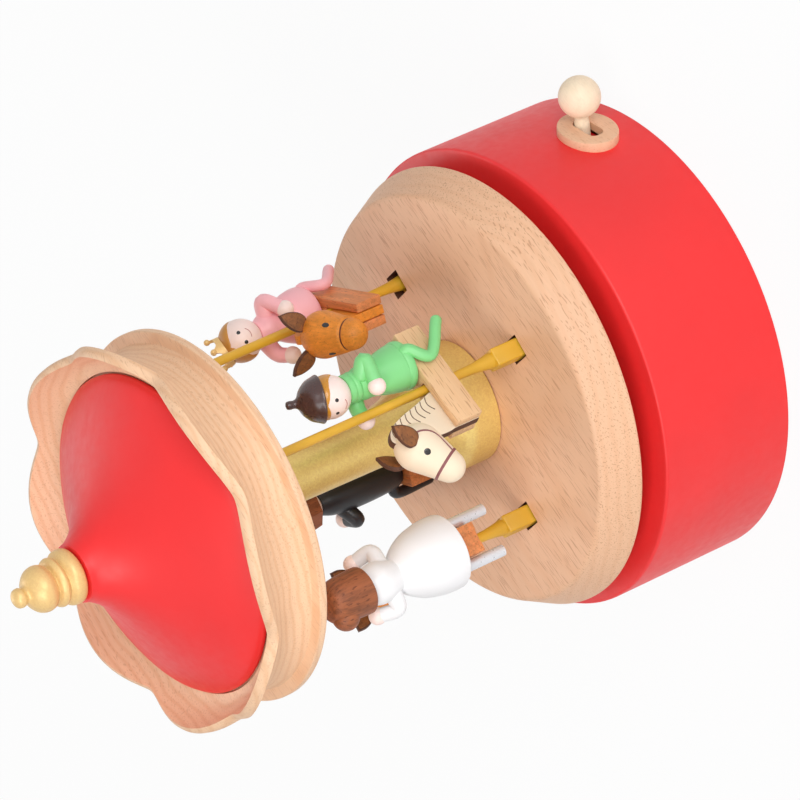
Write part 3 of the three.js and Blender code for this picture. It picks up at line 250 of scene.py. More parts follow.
def rounded_plug(radius, bottom, top, low_reach, high_reach):
    """A round bar about the Z axis with its two rims rounded."""
    return turned(
        rounded([[0, bottom, 0], [radius, bottom, low_reach], [radius, top, high_reach], [0, top, 0]])
    )


def ball(radius, middle=(0.0, 0.0, 0.0), sides=HEAD_SIDES):
    """A half circle from its lowest point to its highest, turned round the Z axis."""
    latitude = np.radians(np.linspace(-90, 90, sides // 2 + 1))
    profile = radius * np.stack([np.cos(latitude), np.sin(latitude)], -1)
    return turned(profile, sides) + np.asarray(middle, float)


def corners_of(node):
    """The lowest and the highest corner of a CAD node's box, in millimetres."""
    return [np.array(corner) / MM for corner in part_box(node)]


def middle_of(node):
    """Where the middle of a CAD node's box stands on the ground, in millimetres."""
    low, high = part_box(node)
    return np.array(((low + high) / 2).xy) / MM


# Pieces


def surface(rings, looped=False):
    """Points and faces of one closed surface: quads between neighbouring rings, and either a cap on each end
    or, where it is looped, quads from the last ring back to the first."""
    rows, columns = rings.shape[:2]
    index = np.arange(rows * columns).reshape(rows, columns)
    low = index if looped else index[:-1]
    high = np.roll(index, -1, 0) if looped else index[1:]
    quads = np.stack([low, np.roll(low, -1, 1), np.roll(high, -1, 1), high], -1).reshape(-1, 4).tolist()
    caps = [] if looped else [index[0][::-1].tolist(), index[-1].tolist()]
    return rings.reshape(-1, 3), quads + caps


def made(name, surfaces, looks, sharp=SHARP_ANGLE):
    """An object from closed surfaces, in place in its mesh, with smooth faces and sharp edges over an angle.
    A surface is its rings, or its rings and whether they are looped."""
    points, faces = [], []
    for each in surfaces:
        corners, sides = surface(*each) if isinstance(each, tuple) else surface(each)
        start = sum(len(p) for p in points)
        points.append(corners)
        faces += [[start + i for i in face] for face in sides]
    mesh = bpy.data.meshes.new(name)
    mesh.from_pydata(np.vstack(points) * MM, [], faces)
    closed = bmesh.new()
    closed.from_mesh(mesh)
    bmesh.ops.remove_doubles(closed, verts=closed.verts, dist=2e-6)
    bmesh.ops.dissolve_degenerate(closed, edges=closed.edges, dist=1e-7)
    bmesh.ops.recalc_face_normals(closed, faces=closed.faces)
    closed.to_mesh(mesh)
    closed.free()
    made_object = bpy.data.objects.new(name, mesh)
    bpy.context.scene.collection.objects.link(made_object)
    for finish in looks if isinstance(looks, list) else [looks]:
        mesh.materials.append(finish)
    shade(mesh, sharp)
    return made_object


def shade(mesh, sharp):
    """Smooth faces, with the edges over an angle in degrees left sharp."""
    mesh.shade_smooth()
    mesh.set_sharp_from_angle(angle=math.radians(sharp))


def cut(target, surfaces, wall_look, sharp=SHARP_ANGLE):
    """Takes the surfaces out of an object for good. The new walls take their own look."""
    tool = made("cutter", surfaces, wall_look)
    step = target.modifiers.new("cut", "BOOLEAN")
    step.operation = "DIFFERENCE"
    step.solver = "EXACT"
    step.material_mode = "TRANSFER"
    step.object = tool
    whole = target.evaluated_get(bpy.context.evaluated_depsgraph_get())
    mesh = bpy.data.meshes.new_from_object(whole)
    target.modifiers.clear()
    target.data = mesh
    bpy.data.objects.remove(tool)
    shade(mesh, sharp)


def settled(piece, body, slot, *nodes):
    """Rides a finished piece on its body and hides the CAD nodes that it stands for. The slot argument is not
    used.
    """
    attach(piece, body)
    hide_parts(*nodes)


def relook(names, finish):
    """Gives CAD nodes a better material."""
    for name in names:
        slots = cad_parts[name].data.materials
        slots.clear()
        slots.append(finish)


# Materials


def add(tree, kind, inputs, **settings):
    """Adds a shader node, sets its settings, and sets or links its inputs by name or number. A node given as
    an input is linked by its first output."""
    node = tree.nodes.new("ShaderNode" + kind)
    for key, value in settings.items():
        setattr(node, key, value)
    for key, value in inputs.items():
        source = value.outputs[0] if isinstance(value, bpy.types.Node) else value
        if isinstance(source, bpy.types.NodeSocket):
            tree.links.new(source, node.inputs[key])
        else:
            node.inputs[key].default_value = source
    return node


def blank(name):
    """A new material and its empty tree."""
    material = bpy.data.materials.new(name)
    material.use_nodes = True
    material.node_tree.nodes.clear()
    return material, material.node_tree


def shaded(material, inputs):
    """The material, ended by a Principled shader with these inputs."""
    shader = add(material.node_tree, "BsdfPrincipled", inputs)
    add(material.node_tree, "OutputMaterial", {"Surface": shader})
    return material


def toned(rgb, *shares):
    """A colour with alpha, darkened or lightened by one share or by a share for each channel."""
    return (*[min(1.0, value * share) for value, share in zip(rgb, shares * 3)], 1.0)


def marks(long_mm, fine_mm):
    """The scale at which noise makes marks of this length along the grain and this fineness across it."""
    return 1 / MM / long_mm, 1 / MM / fine_mm, 1 / MM / fine_mm


def along_grain(tree, turn_degrees, scale, tilt_degrees=0.0, shift=(0.0, 0.0, 0.0)):
    """Object coordinates turned so that X runs along the grain and shifted, both stretched and as they were
    before the stretch."""
    where = add(tree, "TexCoord", {}).outputs["Object"]
    rotation = (0.0, math.radians(tilt_degrees), math.radians(-turn_degrees))
    level = add(tree, "Mapping", {"Vector": where, "Rotation": rotation, "Location": shift})
    return add(tree, "Mapping", {"Vector": level, "Scale": scale}), level


NOISE_SPAN = {"From Min": 0.3, "From Max": 0.7}  # nearly all of a noise lies in this range


def wood(name, rgb, grain_turn, fleck=0.5, rings=0.3, ring_mm=3.4, fleck_mm=4.6, rough=0.5):
    """Sanded close-grained wood under thin varnish. The eye sees soft bands of growth rings cut at a slant,
    fine fibres along the grain and short dark flecks, all in depth, so that end grain shows on the ends. Real
    fibres and flecks are finer than a pixel, so they are drawn as coarse as they need to show: fibres 9 mm
    long and 0.5 mm wide, flecks 0.36 mm wide."""
    material, tree = blank(name)
    fibres, level = along_grain(tree, grain_turn, marks(9, 0.5))
    flecks, _ = along_grain(tree, grain_turn, marks(fleck_mm, 0.36), shift=(0.3, 0.1, 0.2))
    # A growth ring lies at an equal distance from the pith, a line far to one side that leans a little from
    # the grain. Noise with waves of some 40 mm adds up to 11 mm to the distance.
    waver = add(tree, "TexNoise", {"Vector": level, "Scale": 26.0})
    leaning = add(tree, "VectorMath", {0: level, 1: (0.12, 1.0, 1.0)}, operation="MULTIPLY")
    from_pith = add(tree, "VectorMath", {0: leaning, 1: (0.0, 0.035, 0.11)}, operation="ADD")
    distance = add(tree, "VectorMath", {0: from_pith}, operation="LENGTH").outputs["Value"]
    wavered = add(tree, "Math", {0: waver, 1: 0.011, 2: distance}, operation="MULTIPLY_ADD")
    phase = add(tree, "Math", {0: wavered, 1: FULL_TURN / (ring_mm * MM)}, operation="MULTIPLY")
    ring_wave = add(tree, "Math", {0: phase}, operation="SINE")
    late_wood = add(tree, "MapRange", {"Value": ring_wave, "From Min": -0.2, "To Max": rings})
    fibre = add(tree, "TexNoise", {"Vector": fibres, "Scale": 1.0, "Detail": 3.0, "Roughness": 0.6})
    faint_fibre = {"Value": fibre, "From Min": 0.35, "From Max": 0.7, "To Max": 0.3}
    specks = add(tree, "TexNoise", {"Vector": flecks, "Scale": 1.0, "Detail": 0.0})
    dashes = add(tree, "MapRange", {"Value": specks, "From Min": 0.65, "From Max": 0.7})
    cloud = add(tree, "TexNoise", {"Vector": level, "Scale": 18.0, "Detail": 1.0})
    layers = (
        (add(tree, "MapRange", {"Value": cloud, **NOISE_SPAN}), toned(rgb, 1.04)),
        (late_wood, toned(rgb, 0.9, 0.78, 0.68)),
        (add(tree, "MapRange", faint_fibre), toned(rgb, 0.82)),
        (
            add(tree, "Math", {0: dashes, 1: fleck}, operation="MULTIPLY"),
            toned(rgb, 0.55, 0.55 * 0.72, 0.55 * 0.6),
        ),
    )
    tone = toned(rgb, 0.95)
    for share, over in layers:
        tone = add(tree, "Mix", {0: share, 6: tone, 7: over}, data_type="RGBA").outputs[2]
    relief = add(tree, "Math", {0: fibre, 1: dashes}, operation="SUBTRACT")
    bump = add(tree, "Bump", {"Height": relief, "Distance": 0.04 * MM, "Strength": 0.5})
    return shaded(
        material, {"Base Color": tone, "Roughness": rough, "Specular IOR Level": 0.35, "Normal": bump}
    )


def lacquer(name, rgb, rough=0.42, mottle=0.05, coat=0.0, bump_mm=0.012, patch_mm=2.2):
    """Sprayed or brushed paint on sanded wood: one even colour with a soft sheen, slight clouding where the
    coat is thinner, and a faint unevenness of the surface that breaks up the highlights."""
    material, tree = blank(name)
    where = add(tree, "TexCoord", {}).outputs["Object"]
    cloud = add(tree, "TexNoise", {"Vector": where, "Scale": 1 / (9 * patch_mm * MM)})
    fine = add(tree, "TexNoise", {"Vector": where, "Scale": 1 / (patch_mm * MM), "Detail": 3.0})
    thick = add(tree, "MapRange", {"Value": cloud, **NOISE_SPAN})
    tones = {0: thick, 6: toned(rgb, 1 - mottle), 7: toned(rgb, 1 + mottle)}
    tone = add(tree, "Mix", tones, data_type="RGBA").outputs[2]
    span = {"Value": fine, **NOISE_SPAN, "To Min": rough - 0.05, "To Max": rough + 0.05}
    sheen = add(tree, "MapRange", span)
    bump = add(tree, "Bump", {"Height": fine, "Distance": bump_mm * MM, "Strength": 0.6})
    return shaded(material, {"Base Color": tone, "Roughness": sheen, "Coat Weight": coat, "Normal": bump})


def gold_paint(name, rgb, metallic, rough, sparkle=0.5):
    """Metallic paint over wood: flakes lie at slightly different angles, so the broad highlight is grainy.
    Single flakes that catch the light are painted glints: each flake's colour is set at random from darker to
    lighter.
    Real flakes are finer than a pixel, so they are drawn 0.45 mm wide. The coat is thinner in clouds of some
    6 mm."""
    material, tree = blank(name)
    where = add(tree, "TexCoord", {}).outputs["Object"]
    flakes = add(tree, "TexVoronoi", {"Vector": where, "Scale": 1 / (0.45 * MM)})
    flake = add(tree, "SeparateColor", {"Color": flakes.outputs["Color"]})
    # Painted glints: each flake's colour is mixed towards a lighter tone, by up to the sparkle share, to
    # stand in for flakes that catch the light
    painted_glint = add(tree, "MapRange", {"Value": flake.outputs["Red"], "To Max": sparkle})
    bright = {0: painted_glint, 6: toned(rgb, 0.86), 7: toned(rgb, 1.22)}
    grainy = add(tree, "Mix", bright, data_type="RGBA").outputs[2]
    cloud = add(tree, "TexNoise", {"Vector": where, "Scale": 160.0, "Detail": 3.0})
    thin = add(tree, "MapRange", {"Value": cloud, **NOISE_SPAN, "To Max": 0.25})
    tone = add(tree, "Mix", {0: thin, 6: grainy, 7: toned(rgb, 0.8)}, data_type="RGBA").outputs[2]
    span = {"Value": flake.outputs["Green"], "To Min": rough - 0.09, "To Max": rough + 0.1}
    sheen = add(tree, "MapRange", span)
    lie = {"Height": flakes.outputs["Distance"], "Distance": 0.03 * MM, "Strength": 0.6}
    bump = add(tree, "Bump", lie)
    return shaded(material, {"Base Color": tone, "Metallic": metallic, "Roughness": sheen, "Normal": bump})


def metal(name, rgb, rough):
    """Machined metal: fine brushed lines that blur the reflection along one way, and a few duller patches.
    The lines are drawn 17 mm long and 0.4 mm apart, and the patches 8 mm wide."""
    material, tree = blank(name)
    lines, level = along_grain(tree, 0, (60.0, 2600.0, 2600.0))
    brushed = add(tree, "TexNoise", {"Vector": lines, "Scale": 1.0})
    patches = add(tree, "TexNoise", {"Vector": level, "Scale": 120.0})
    bright = add(tree, "MapRange", {"Value": patches, **NOISE_SPAN})
    tones = {0: bright, 6: toned(rgb, 0.9), 7: toned(rgb, 1.06)}
    tone = add(tree, "Mix", tones, data_type="RGBA").outputs[2]
    span = {"Value": brushed, **NOISE_SPAN, "To Min": rough - 0.08, "To Max": rough + 0.1}
    sheen = add(tree, "MapRange", span)
    bump = add(tree, "Bump", {"Height": brushed, "Distance": 0.01 * MM, "Strength": 0.4})
    return shaded(material, {"Base Color": tone, "Metallic": 1.0, "Roughness": sheen, "Normal": bump})


def porous(name, rgb, grain_turn, pore=0.75, tilt=0.0, rough=0.55, streak=0.55, pore_mm=1.8):
    """Open-grained dark wood, oiled: brown streaks along the grain, 14 mm long and 1.3 mm wide, and small
    dark pores cut open at the surface. The pores are drawn 0.5 mm wide, as fine as the picture can show."""
    material, tree = blank(name)
    streaks, _ = along_grain(tree, grain_turn, marks(14, 1.3), tilt)
    pores, _ = along_grain(tree, grain_turn, marks(pore_mm, 0.5), tilt, (0.1, 0.3, 0.1))
    brown = add(tree, "TexNoise", {"Vector": streaks, "Scale": 1.0, "Detail": 3.0, "Roughness": 0.6})
    pale = add(tree, "MapRange", {"Value": brown, "From Min": 0.32, "From Max": 0.68})
    tones = {0: pale, 6: toned(rgb, 1 - streak * 0.6), 7: toned(rgb, 1.1 + streak * 0.15)}
    streaky = add(tree, "Mix", tones, data_type="RGBA").outputs[2]
    specks = add(tree, "TexNoise", {"Vector": pores, "Scale": 1.0, "Detail": 1.0})
    holes = add(tree, "MapRange", {"Value": specks, "From Min": 0.6, "From Max": 0.7})
    share = add(tree, "Math", {0: holes, 1: pore}, operation="MULTIPLY")
    over = {0: share, 6: streaky, 7: toned(rgb, 0.3, 0.24, 0.22)}
    tone = add(tree, "Mix", over, data_type="RGBA").outputs[2]
    relief = add(tree, "Math", {0: brown, 1: holes}, operation="SUBTRACT")
    bump = add(tree, "Bump", {"Height": relief, "Distance": 0.06 * MM, "Strength": 0.6})
    return shaded(material, {"Base Color": tone, "Roughness": rough, "Normal": bump})


def colours():
    """The colours of the scene's property group."""
    return bpy.context.scene.music_box_colours


def sizes():
    """The sizes of the scene's property group."""
    return bpy.context.scene.music_box_sizes


def look(name, make, *arguments, **settings):
    """The material of that name, made the first time it is asked for."""
    return bpy.data.materials.get(name) or make(name, *arguments, **settings)


def red_lacquer():
    """Red satin lacquer, sprayed: a deep even red with a soft broad highlight."""
    return look("red satin lacquer", lacquer, colours().red, rough=0.46, mottle=0.03, patch_mm=2.6)


def beech():
    """Sanded beech: pale, with short dark flecks."""
    figure = {"ring_mm": sizes().ring_spacing, "fleck_mm": sizes().fleck_length}
    return look("sanded beech", wood, colours().beech, 20, **figure)


def canopy_beech():
    """Beech turned on a lathe: growth rings show as broad bands and the flecks are small."""
    figure = {"fleck": 0.3, "rings": 0.6, "ring_mm": 2.4, "fleck_mm": 3.6}
    return look("sanded beech canopy", wood, linear("#F4CAA5"), 18, **figure)


def burnt_edge():
    """Wood browned by the laser that cut it: dark, dull and a little uneven."""
    return look("burnt laser-cut edge", porous, linear("#5A3420"), 0, rough=0.7, pore=0.4)


def pearl_gold():
    """Pearly gold paint: mostly a warm cream with few painted glints."""
    return look("pearl gold paint", gold_paint, colours().finial_gold, 0.2, 0.42, sparkle=0.3)


def spring_steel():
    """Ground spring steel: grey, with a blurred reflection."""
    return look("spring steel", metal, linear("#B6B8BC"), 0.3)


def walnut_hair():
    """Oiled walnut with its grain upright: brown streaks run down the hair."""
    return look("walnut hair", porous, colours().walnut, 0, tilt=90.0, pore=0.7, streak=0.7)


def eye_black():
    """Glossy black paint in small drops."""
    return look("black eye paint", lacquer, linear("#171314"), rough=0.3, coat=0.3)


def horse_finish(label):
    """The pale horse's matt cream paint, or a brown horse's stain, through which the wood's pores show."""
    if label == PALE_HORSE:
        return look("cream horse paint", lacquer, colours().cream, rough=0.5, mottle=0.03)
    stain = {"pore": 0.3, "streak": 0.25, "pore_mm": 0.7}
    return look("stained wood " + label, porous, colours().mahogany, HEADINGS[label], **stain)


# Base: drum, bottom plate, key and lever

DRUM_RADIUS = 71.0
DRUM_HEIGHT = 46.0
CAVITY_RADIUS = 63.0
DECK_THICKNESS = 6.0
DECK_OPENING = 50.0
LEVER_AZIMUTH = -39.5
LEVER_SWING = 7.0
LEVER_HEIGHT = 16.0
LEVER_PIVOT = 52.0  # from the drum's axis
LEVER_AT = np.array(
    [
        LEVER_PIVOT * math.cos(math.radians(LEVER_AZIMUTH)),
        LEVER_PIVOT * math.sin(math.radians(LEVER_AZIMUTH)),
        LEVER_HEIGHT,
    ]
)
PEG_LENGTH = 30.3
PEG_RADIUS = 2.3
BALL_RADIUS = 6.25
BOSS_RADIUS = 3.2
BOSS_HALF_HEIGHT = 3.7
STUD_RADIUS = 1.5
STUD_BOTTOM = -7.2
STUD_TOP = -3.6
WIRE_RADIUS = 0.7
WIRE_ROOM = 0.7  # between the stop wire and the governor's fan
WIRE_RISE = 12.0
FAN_RADIUS = 4.5
ESCUTCHEON_WIDTH = 19.6
ESCUTCHEON_HEIGHT = 16.8
ESCUTCHEON_THICKNESS = 3.3
ESCUTCHEON_PROUD = 2.5  # of the drum's side
KEY_HEIGHT = 6.8
KEY_THICKNESS = 3.0
ARBOR_RADIUS = 1.5


def lever_slot():
    """The slot that the peg swings in: a round-ended block through the drum's wall and the escutcheon."""
    reach = DRUM_RADIUS + ESCUTCHEON_PROUD - LEVER_PIVOT
    half = reach * math.tan(math.radians(LEVER_SWING)) + PEG_RADIUS + GAP
    tall = PEG_RADIUS + GAP
    through_wall = turn(slab(rectangle(half, tall, tall, 8), 20.0, 0.01), "Z", 90)
    return turn(through_wall + [DRUM_RADIUS, 0, LEVER_HEIGHT], "Z", LEVER_AZIMUTH)


class MUSICBOX_OT_base(bpy.types.Operator):
    """Make the painted drum and finish the plate under it"""

    bl_idname = "musicbox.base"
    bl_label = "Drum and bottom plate"

    def execute(self, context):
        edge = sizes().drum_edge
        deck = DRUM_HEIGHT - DECK_THICKNESS
        profile = rounded(
            [
                [CAVITY_RADIUS, 0, 0.4],
                [DRUM_RADIUS, 0, 0.5],
                [DRUM_RADIUS, DRUM_HEIGHT, edge],
                [DECK_OPENING, DRUM_HEIGHT, edge],
                [DECK_OPENING, deck, 0.3],
                [CAVITY_RADIUS, deck, 0.5],
            ]
        )
        drum = made("drum", [(turned(profile, FINE_SIDES), True)], red_lacquer())
        cut(drum, [lever_slot()], red_lacquer())
        settled(drum, "base", "red_paint", "base_drum")
        ply_grain = {"fleck": 0.3, "rings": 0.5, "ring_mm": 7.0, "rough": 0.65}
        relook(["bottom_plate", "cam_shelf"], look("birch plywood", wood, linear("#D9B58A"), 30, **ply_grain))
        relook(["cam_ring"], beech())
        return {"FINISHED"}


class MUSICBOX_OT_lever(bpy.types.Operator):
    """Make the stop lever and the oval plate round its slot"""

    bl_idname = "musicbox.lever"
    bl_label = "Stop lever"

    def execute(self, context):
        self.escutcheon()
        self.peg_and_ball()
        self.stop_wire()
        return {"FINISHED"}

    def escutcheon(self):
        """An oval plate half sunk in the drum's side, with the slot through it."""
        angle = np.linspace(0, FULL_TURN, 64, endpoint=False)
        oval = np.stack([ESCUTCHEON_WIDTH / 2 * np.cos(angle), ESCUTCHEON_HEIGHT / 2 * np.sin(angle)], -1)
        middle = DRUM_RADIUS + ESCUTCHEON_PROUD - ESCUTCHEON_THICKNESS / 2
        plate = turn(slab(oval, ESCUTCHEON_THICKNESS, 0.4), "Z", 90) + [middle, 0, LEVER_HEIGHT]
        raw_beech = look("raw beech plate", wood, linear("#F2C6A2"), 60, fleck=0.25, rings=0.25, rough=0.6)
        escutcheon = made("escutcheon", [turn(plate, "Z", LEVER_AZIMUTH)], raw_beech)
        cut(escutcheon, [lever_slot()], raw_beech)
        settled(escutcheon, "base", "beech", "lever_escutcheon")

    def peg_and_ball(self):
        """The peg narrows a little before the ball. Both lie level, turned as far as the slot lets them."""
        tapering = [[PEG_RADIUS, 20.0], [2.1, 23.0], [2.05, 25.0], [2.2, 27.5]]
        peg = turned(through([[0.01, 0.0], [PEG_RADIUS, 0.01], *tapering], 4))
        knob = ball(BALL_RADIUS, (0, 0, PEG_LENGTH), 64)
        heading = LEVER_AZIMUTH + LEVER_SWING
        lying = [turn(turn(upright, "Y", 90), "Z", heading) + LEVER_AT for upright in (peg, knob)]
        boss = rounded_plug(BOSS_RADIUS, -BOSS_HALF_HEIGHT, BOSS_HALF_HEIGHT, 0.4, 0.4)
        stud = rounded_plug(STUD_RADIUS, STUD_BOTTOM, STUD_TOP, 0.3, 0)
        lime = look("pale lime wood", wood, colours().pale_wood, 15, fleck=0.08, rings=0.12, rough=0.5)
        lever = made("lever", [*lying, boss + LEVER_AT, stud + LEVER_AT], lime)
        settled(lever, "lever", "pale_wood", "stop_lever")

    def stop_wire(self):
        """A wire from the boss that bends up beside the governor's fan and holds it."""
        ahead = middle_of("governor") - LEVER_AT[:2]
        distance = np.linalg.norm(ahead)
        reach = distance - FAN_RADIUS - WIRE_RADIUS - WIRE_ROOM
        tip = LEVER_AT + np.array([*(ahead / distance * reach), 0.0])
        level = [LEVER_AT, LEVER_AT + (tip - LEVER_AT) * 0.5, tip - (tip - LEVER_AT) * 0.06]
        rings = round_ended([*level, tip + [0, 0, 0.9], tip + [0, 0, WIRE_RISE]], [WIRE_RADIUS] * 2, 6)
        settled(made("stop_wire", [rings], spring_steel()), "lever", "steel")


class MUSICBOX_OT_movement(bpy.types.Operator):
    """Finish the music movement and make the butterfly key"""

    bl_idname = "musicbox.movement"
    bl_label = "Music movement"

    def execute(self, context):
        brass = look("turned brass", metal, linear("#D0AA55"), 0.3)
        relook(["movement_bedplate", "spring_barrel", "pinned_cylinder", "drive_gear"], brass)
        relook(["comb", "mainspring", "governor", "turntable_spindle"], spring_steel())
        low, high = corners_of("winding_key")
        middle, width, bottom, top = (low + high) / 2, high[0] - low[0], low[2], high[2]
        # The wings' half height is a squared sine across the key, which makes two lobes and a waist.
        across = np.linspace(0, 1, 25)
        lobes = KEY_HEIGHT / 2 * (0.62 + 0.38 * np.sin(across * math.pi * 2 - 0.6) ** 2)
        x = (across - 0.5) * width
        outline = np.vstack([np.stack([x, -lobes], -1), np.stack([x, lobes], -1)[::-1]])
        wings = slab(outline, KEY_THICKNESS, 0.9) + [middle[0], middle[1], bottom + KEY_HEIGHT / 2]
        arbor = rounded_plug(ARBOR_RADIUS, bottom + 1.5, top, 0, 0.3)
        key = made("key", [wings, arbor + [middle[0], middle[1], 0]], brass)
        settled(key, "key", "brass", "winding_key")
        return {"FINISHED"}


# Turntable: disc, column, canopy, roof and finial

DISC_BOTTOM = 52.5
DISC_TOP = 64.0
DISC_RADIUS = 68.0
DISC_TOP_RADIUS = 62.7
HOLE_WIDTH = 7.0
POLE_TURN = 10.0
COLUMN_BASE = 18.7  # radius
COLUMN_RADIUS = 8.3
COLUMN_HEIGHT = 91.7
SPIGOT_RADIUS = 6.0  # of the column's end, which stands in the canopy
SPIGOT_HEIGHT = 4.0
CANOPY_BOTTOM = 156.0
CANOPY_LOBES = 8
LOBE_TURN = 0.41
LOBE_SOFTNESS = 0.15
FLANGE_RADIUS = 56.0
FLANGE_HEIGHT = 2.7
GROOVE_RADIUS = 51.7
GROOVE_TOP = 5.4
RIDGE_RADIUS = 58.5
RIDGE_SET_BACK = 2.0  # in a valley
RIDGE_HEIGHT = 19.8  # in a valley
RIDGE_RISE = 4.2  # on a lobe
RIDGE_EDGE = 2.3
BANK_FOOT = 15.3
RECESS_RADIUS = 48.5
RECESS_HEIGHT = 14.0
ROOF_RADIUS = 48.0
ROOF_HEIGHT = 32.0
FINIAL_RADIUS = 8.3
FINIAL_HEIGHT = 20.4
FINIAL_PEG_RADIUS = 3.0
CARRIERS = ("boy", "princess", "groom", "bride")
PALE_HORSE = "boy"


def spot(label):
    """Where a carrier's pole stands."""
    return middle_of(label + "_pole")


class MUSICBOX_OT_disc(bpy.types.Operator):
    """Make the turning disc with its four square holes"""

    bl_idname = "musicbox.disc"
    bl_label = "Turntable disc"

    def execute(self, context):
        profile = rounded(
            [
                [0, DISC_BOTTOM, 0],
                [DISC_RADIUS, DISC_BOTTOM, 0.5],
                [DISC_RADIUS, DISC_BOTTOM + 0.8, 0.3],
                [DISC_TOP_RADIUS, DISC_TOP, sizes().disc_edge],
                [0, DISC_TOP, 0],
            ],
            6,
        )
        disc = made("disc", [turned(profile, FINE_SIDES)], beech())
        half = HOLE_WIDTH / 2
        hole = turn(block([-half, -half, DISC_BOTTOM - 2], [half, half, DISC_TOP + 2], 0.15), "Z", POLE_TURN)
        cut(disc, [hole + [*spot(label), 0] for label in CARRIERS], burnt_edge())
        settled(disc, "turntable", "beech", "turntable_disc")
        return {"FINISHED"}


class MUSICBOX_OT_column(bpy.types.Operator):
    """Make the gold column with its spreading foot"""

    bl_idname = "musicbox.column"
    bl_label = "Column"

    def execute(self, context):
        # Above the foot's upright edge the radius shrinks to the column's by a power of the way that is left.
        shoulder = COLUMN_BASE * 0.93
        along = np.linspace(0, 1, 24)
        radius = COLUMN_RADIUS + (shoulder - COLUMN_RADIUS) * (1 - along) ** 2.4
        flare = np.stack([radius, COLUMN_HEIGHT * (0.13 + 0.27 * along)], -1)
        upright_edge = [[COLUMN_BASE, 0, 0.4], [COLUMN_BASE, COLUMN_HEIGHT * 0.1, 1.6]]
        foot = rounded([[0, 0, 0], *upright_edge, [*flare[0], 0.3], [*flare[1], 0]])
        top = COLUMN_HEIGHT + SPIGOT_HEIGHT
        neck = [[COLUMN_RADIUS * 0.94, COLUMN_HEIGHT], [SPIGOT_RADIUS, COLUMN_HEIGHT]]
        profile = np.vstack([foot[:-1], flare[2:], neck, [[SPIGOT_RADIUS, top], [0, top]]])
        gold = look("gold metallic paint", gold_paint, colours().gold, 0.35, 0.4)
        column = made("gold_column", [turned(profile, COLUMN_SIDES) + [0, 0, DISC_TOP + GAP]], gold)
        settled(column, "turntable", "gold_paint", "column")
        return {"FINISHED"}


class MUSICBOX_OT_canopy(bpy.types.Operator):
    """Make the canopy with its scalloped edge"""

    bl_idname = "musicbox.canopy"
    bl_label = "Canopy"

    def execute(self, context):
        canopy = made("canopy", [canopy_rings()], canopy_beech(), TURNED_SHARP_ANGLE)
        pole_hole = plug(POLE_RADIUS + GAP, -2, RECESS_HEIGHT + 2, 24)
        holes = [pole_hole + [*spot(label), CANOPY_BOTTOM] for label in CARRIERS]
        holes.append(plug(SPIGOT_RADIUS + GAP, -2, SPIGOT_HEIGHT + GAP) + [0, 0, CANOPY_BOTTOM])
        cut(canopy, holes, burnt_edge(), TURNED_SHARP_ANGLE)
        settled(canopy, "turntable", "beech", "canopy_crown")
        return {"FINISHED"}


def canopy_rings():
    """The canopy's section at every angle: a flange, a cove that flares to a sharp ridge and a bank down to
    the roof. The ridge is far out and high on a lobe and nearer in and low in a valley. Its share is the size
    of a cosine of four waves, softened near nought, which makes eight broad lobes and narrow valleys."""
    angle = np.linspace(0, FULL_TURN, 320, endpoint=False)
    wave = np.cos(CANOPY_LOBES / 2 * (angle - LOBE_TURN))
    share = (np.hypot(wave, LOBE_SOFTNESS) - LOBE_SOFTNESS) / (math.hypot(1, LOBE_SOFTNESS) - LOBE_SOFTNESS)
    ridge_radius = RIDGE_RADIUS - RIDGE_SET_BACK * (1 - share)
    ridge_height = RIDGE_HEIGHT + RIDGE_RISE * share
    flange = rounded(
        [
            [0, 0, 0],
            [FLANGE_RADIUS, 0, 0.9],
            [FLANGE_RADIUS, FLANGE_HEIGHT, 0.5],
            [GROOVE_RADIUS + 0.8, FLANGE_HEIGHT + 0.25, 0.3],
            [GROOVE_RADIUS, GROOVE_TOP, 0],
        ],
        5,
    )
    t = np.linspace(0, 1, 15)[1:, None]
    # The cove runs from the groove up to the ridge: its radius starts slowly and then sweeps outwards.
    cove_radius = GROOVE_RADIUS + (ridge_radius - GROOVE_RADIUS) * t**1.9 - 1.1 * np.sin(math.pi * t**0.8)
    cove_height = GROOVE_TOP + (ridge_height - RIDGE_EDGE - GROOVE_TOP) * t
    over = np.radians([[30], [60], [90]])
    edge_radius = ridge_radius - RIDGE_EDGE * (1 - np.cos(over))
    edge_height = ridge_height - RIDGE_EDGE * (1 - np.sin(over))
    # The bank drops steeply from the ridge at first and then runs in to the recess that the roof stands in.
    bank_radius = edge_radius[-1] + (RECESS_RADIUS + 0.1 - edge_radius[-1]) * t
    bank_height = ridge_height + (BANK_FOOT - ridge_height) * (1 - (1 - t) ** 2.2)
    recess = np.array([[RECESS_RADIUS, RECESS_HEIGHT], [0, RECESS_HEIGHT]])

    def all_round(column):
        """A column of numbers, the same at every angle."""
        return np.repeat(column[:, None], len(angle), 1)

    radius = [all_round(flange[:, 0]), cove_radius, edge_radius, bank_radius, all_round(recess[:, 0])]
    height = [all_round(flange[:, 1]), cove_height, edge_height, bank_height, all_round(recess[:, 1])]
    radius, height = np.vstack(radius), np.vstack(height)
    return np.stack([radius * np.cos(angle), radius * np.sin(angle), height + CANOPY_BOTTOM], -1)


# Profiles as shares of a full radius and a full height
ROOF_SHARES = [
    [1, 0.06], [0.965, 0.12], [0.85, 0.235], [0.7, 0.365], [0.53, 0.505], [0.385, 0.64], [0.27, 0.78],
    [0.2, 0.92], [0.18, 1],
]
FINIAL_SHARES = [
    [0.86, 0.0], [0.97, 0.035], [1.0, 0.1], [0.96, 0.17], [0.84, 0.215], [0.77, 0.245], [0.86, 0.28],
    [0.88, 0.32], [0.8, 0.37], [0.66, 0.405], [0.77, 0.45], [0.83, 0.54], [0.76, 0.65], [0.55, 0.74],
    [0.32, 0.79], [0.3, 0.83], [0.35, 0.88], [0.31, 0.95], [0.16, 0.99], [0.0, 1.0],
]


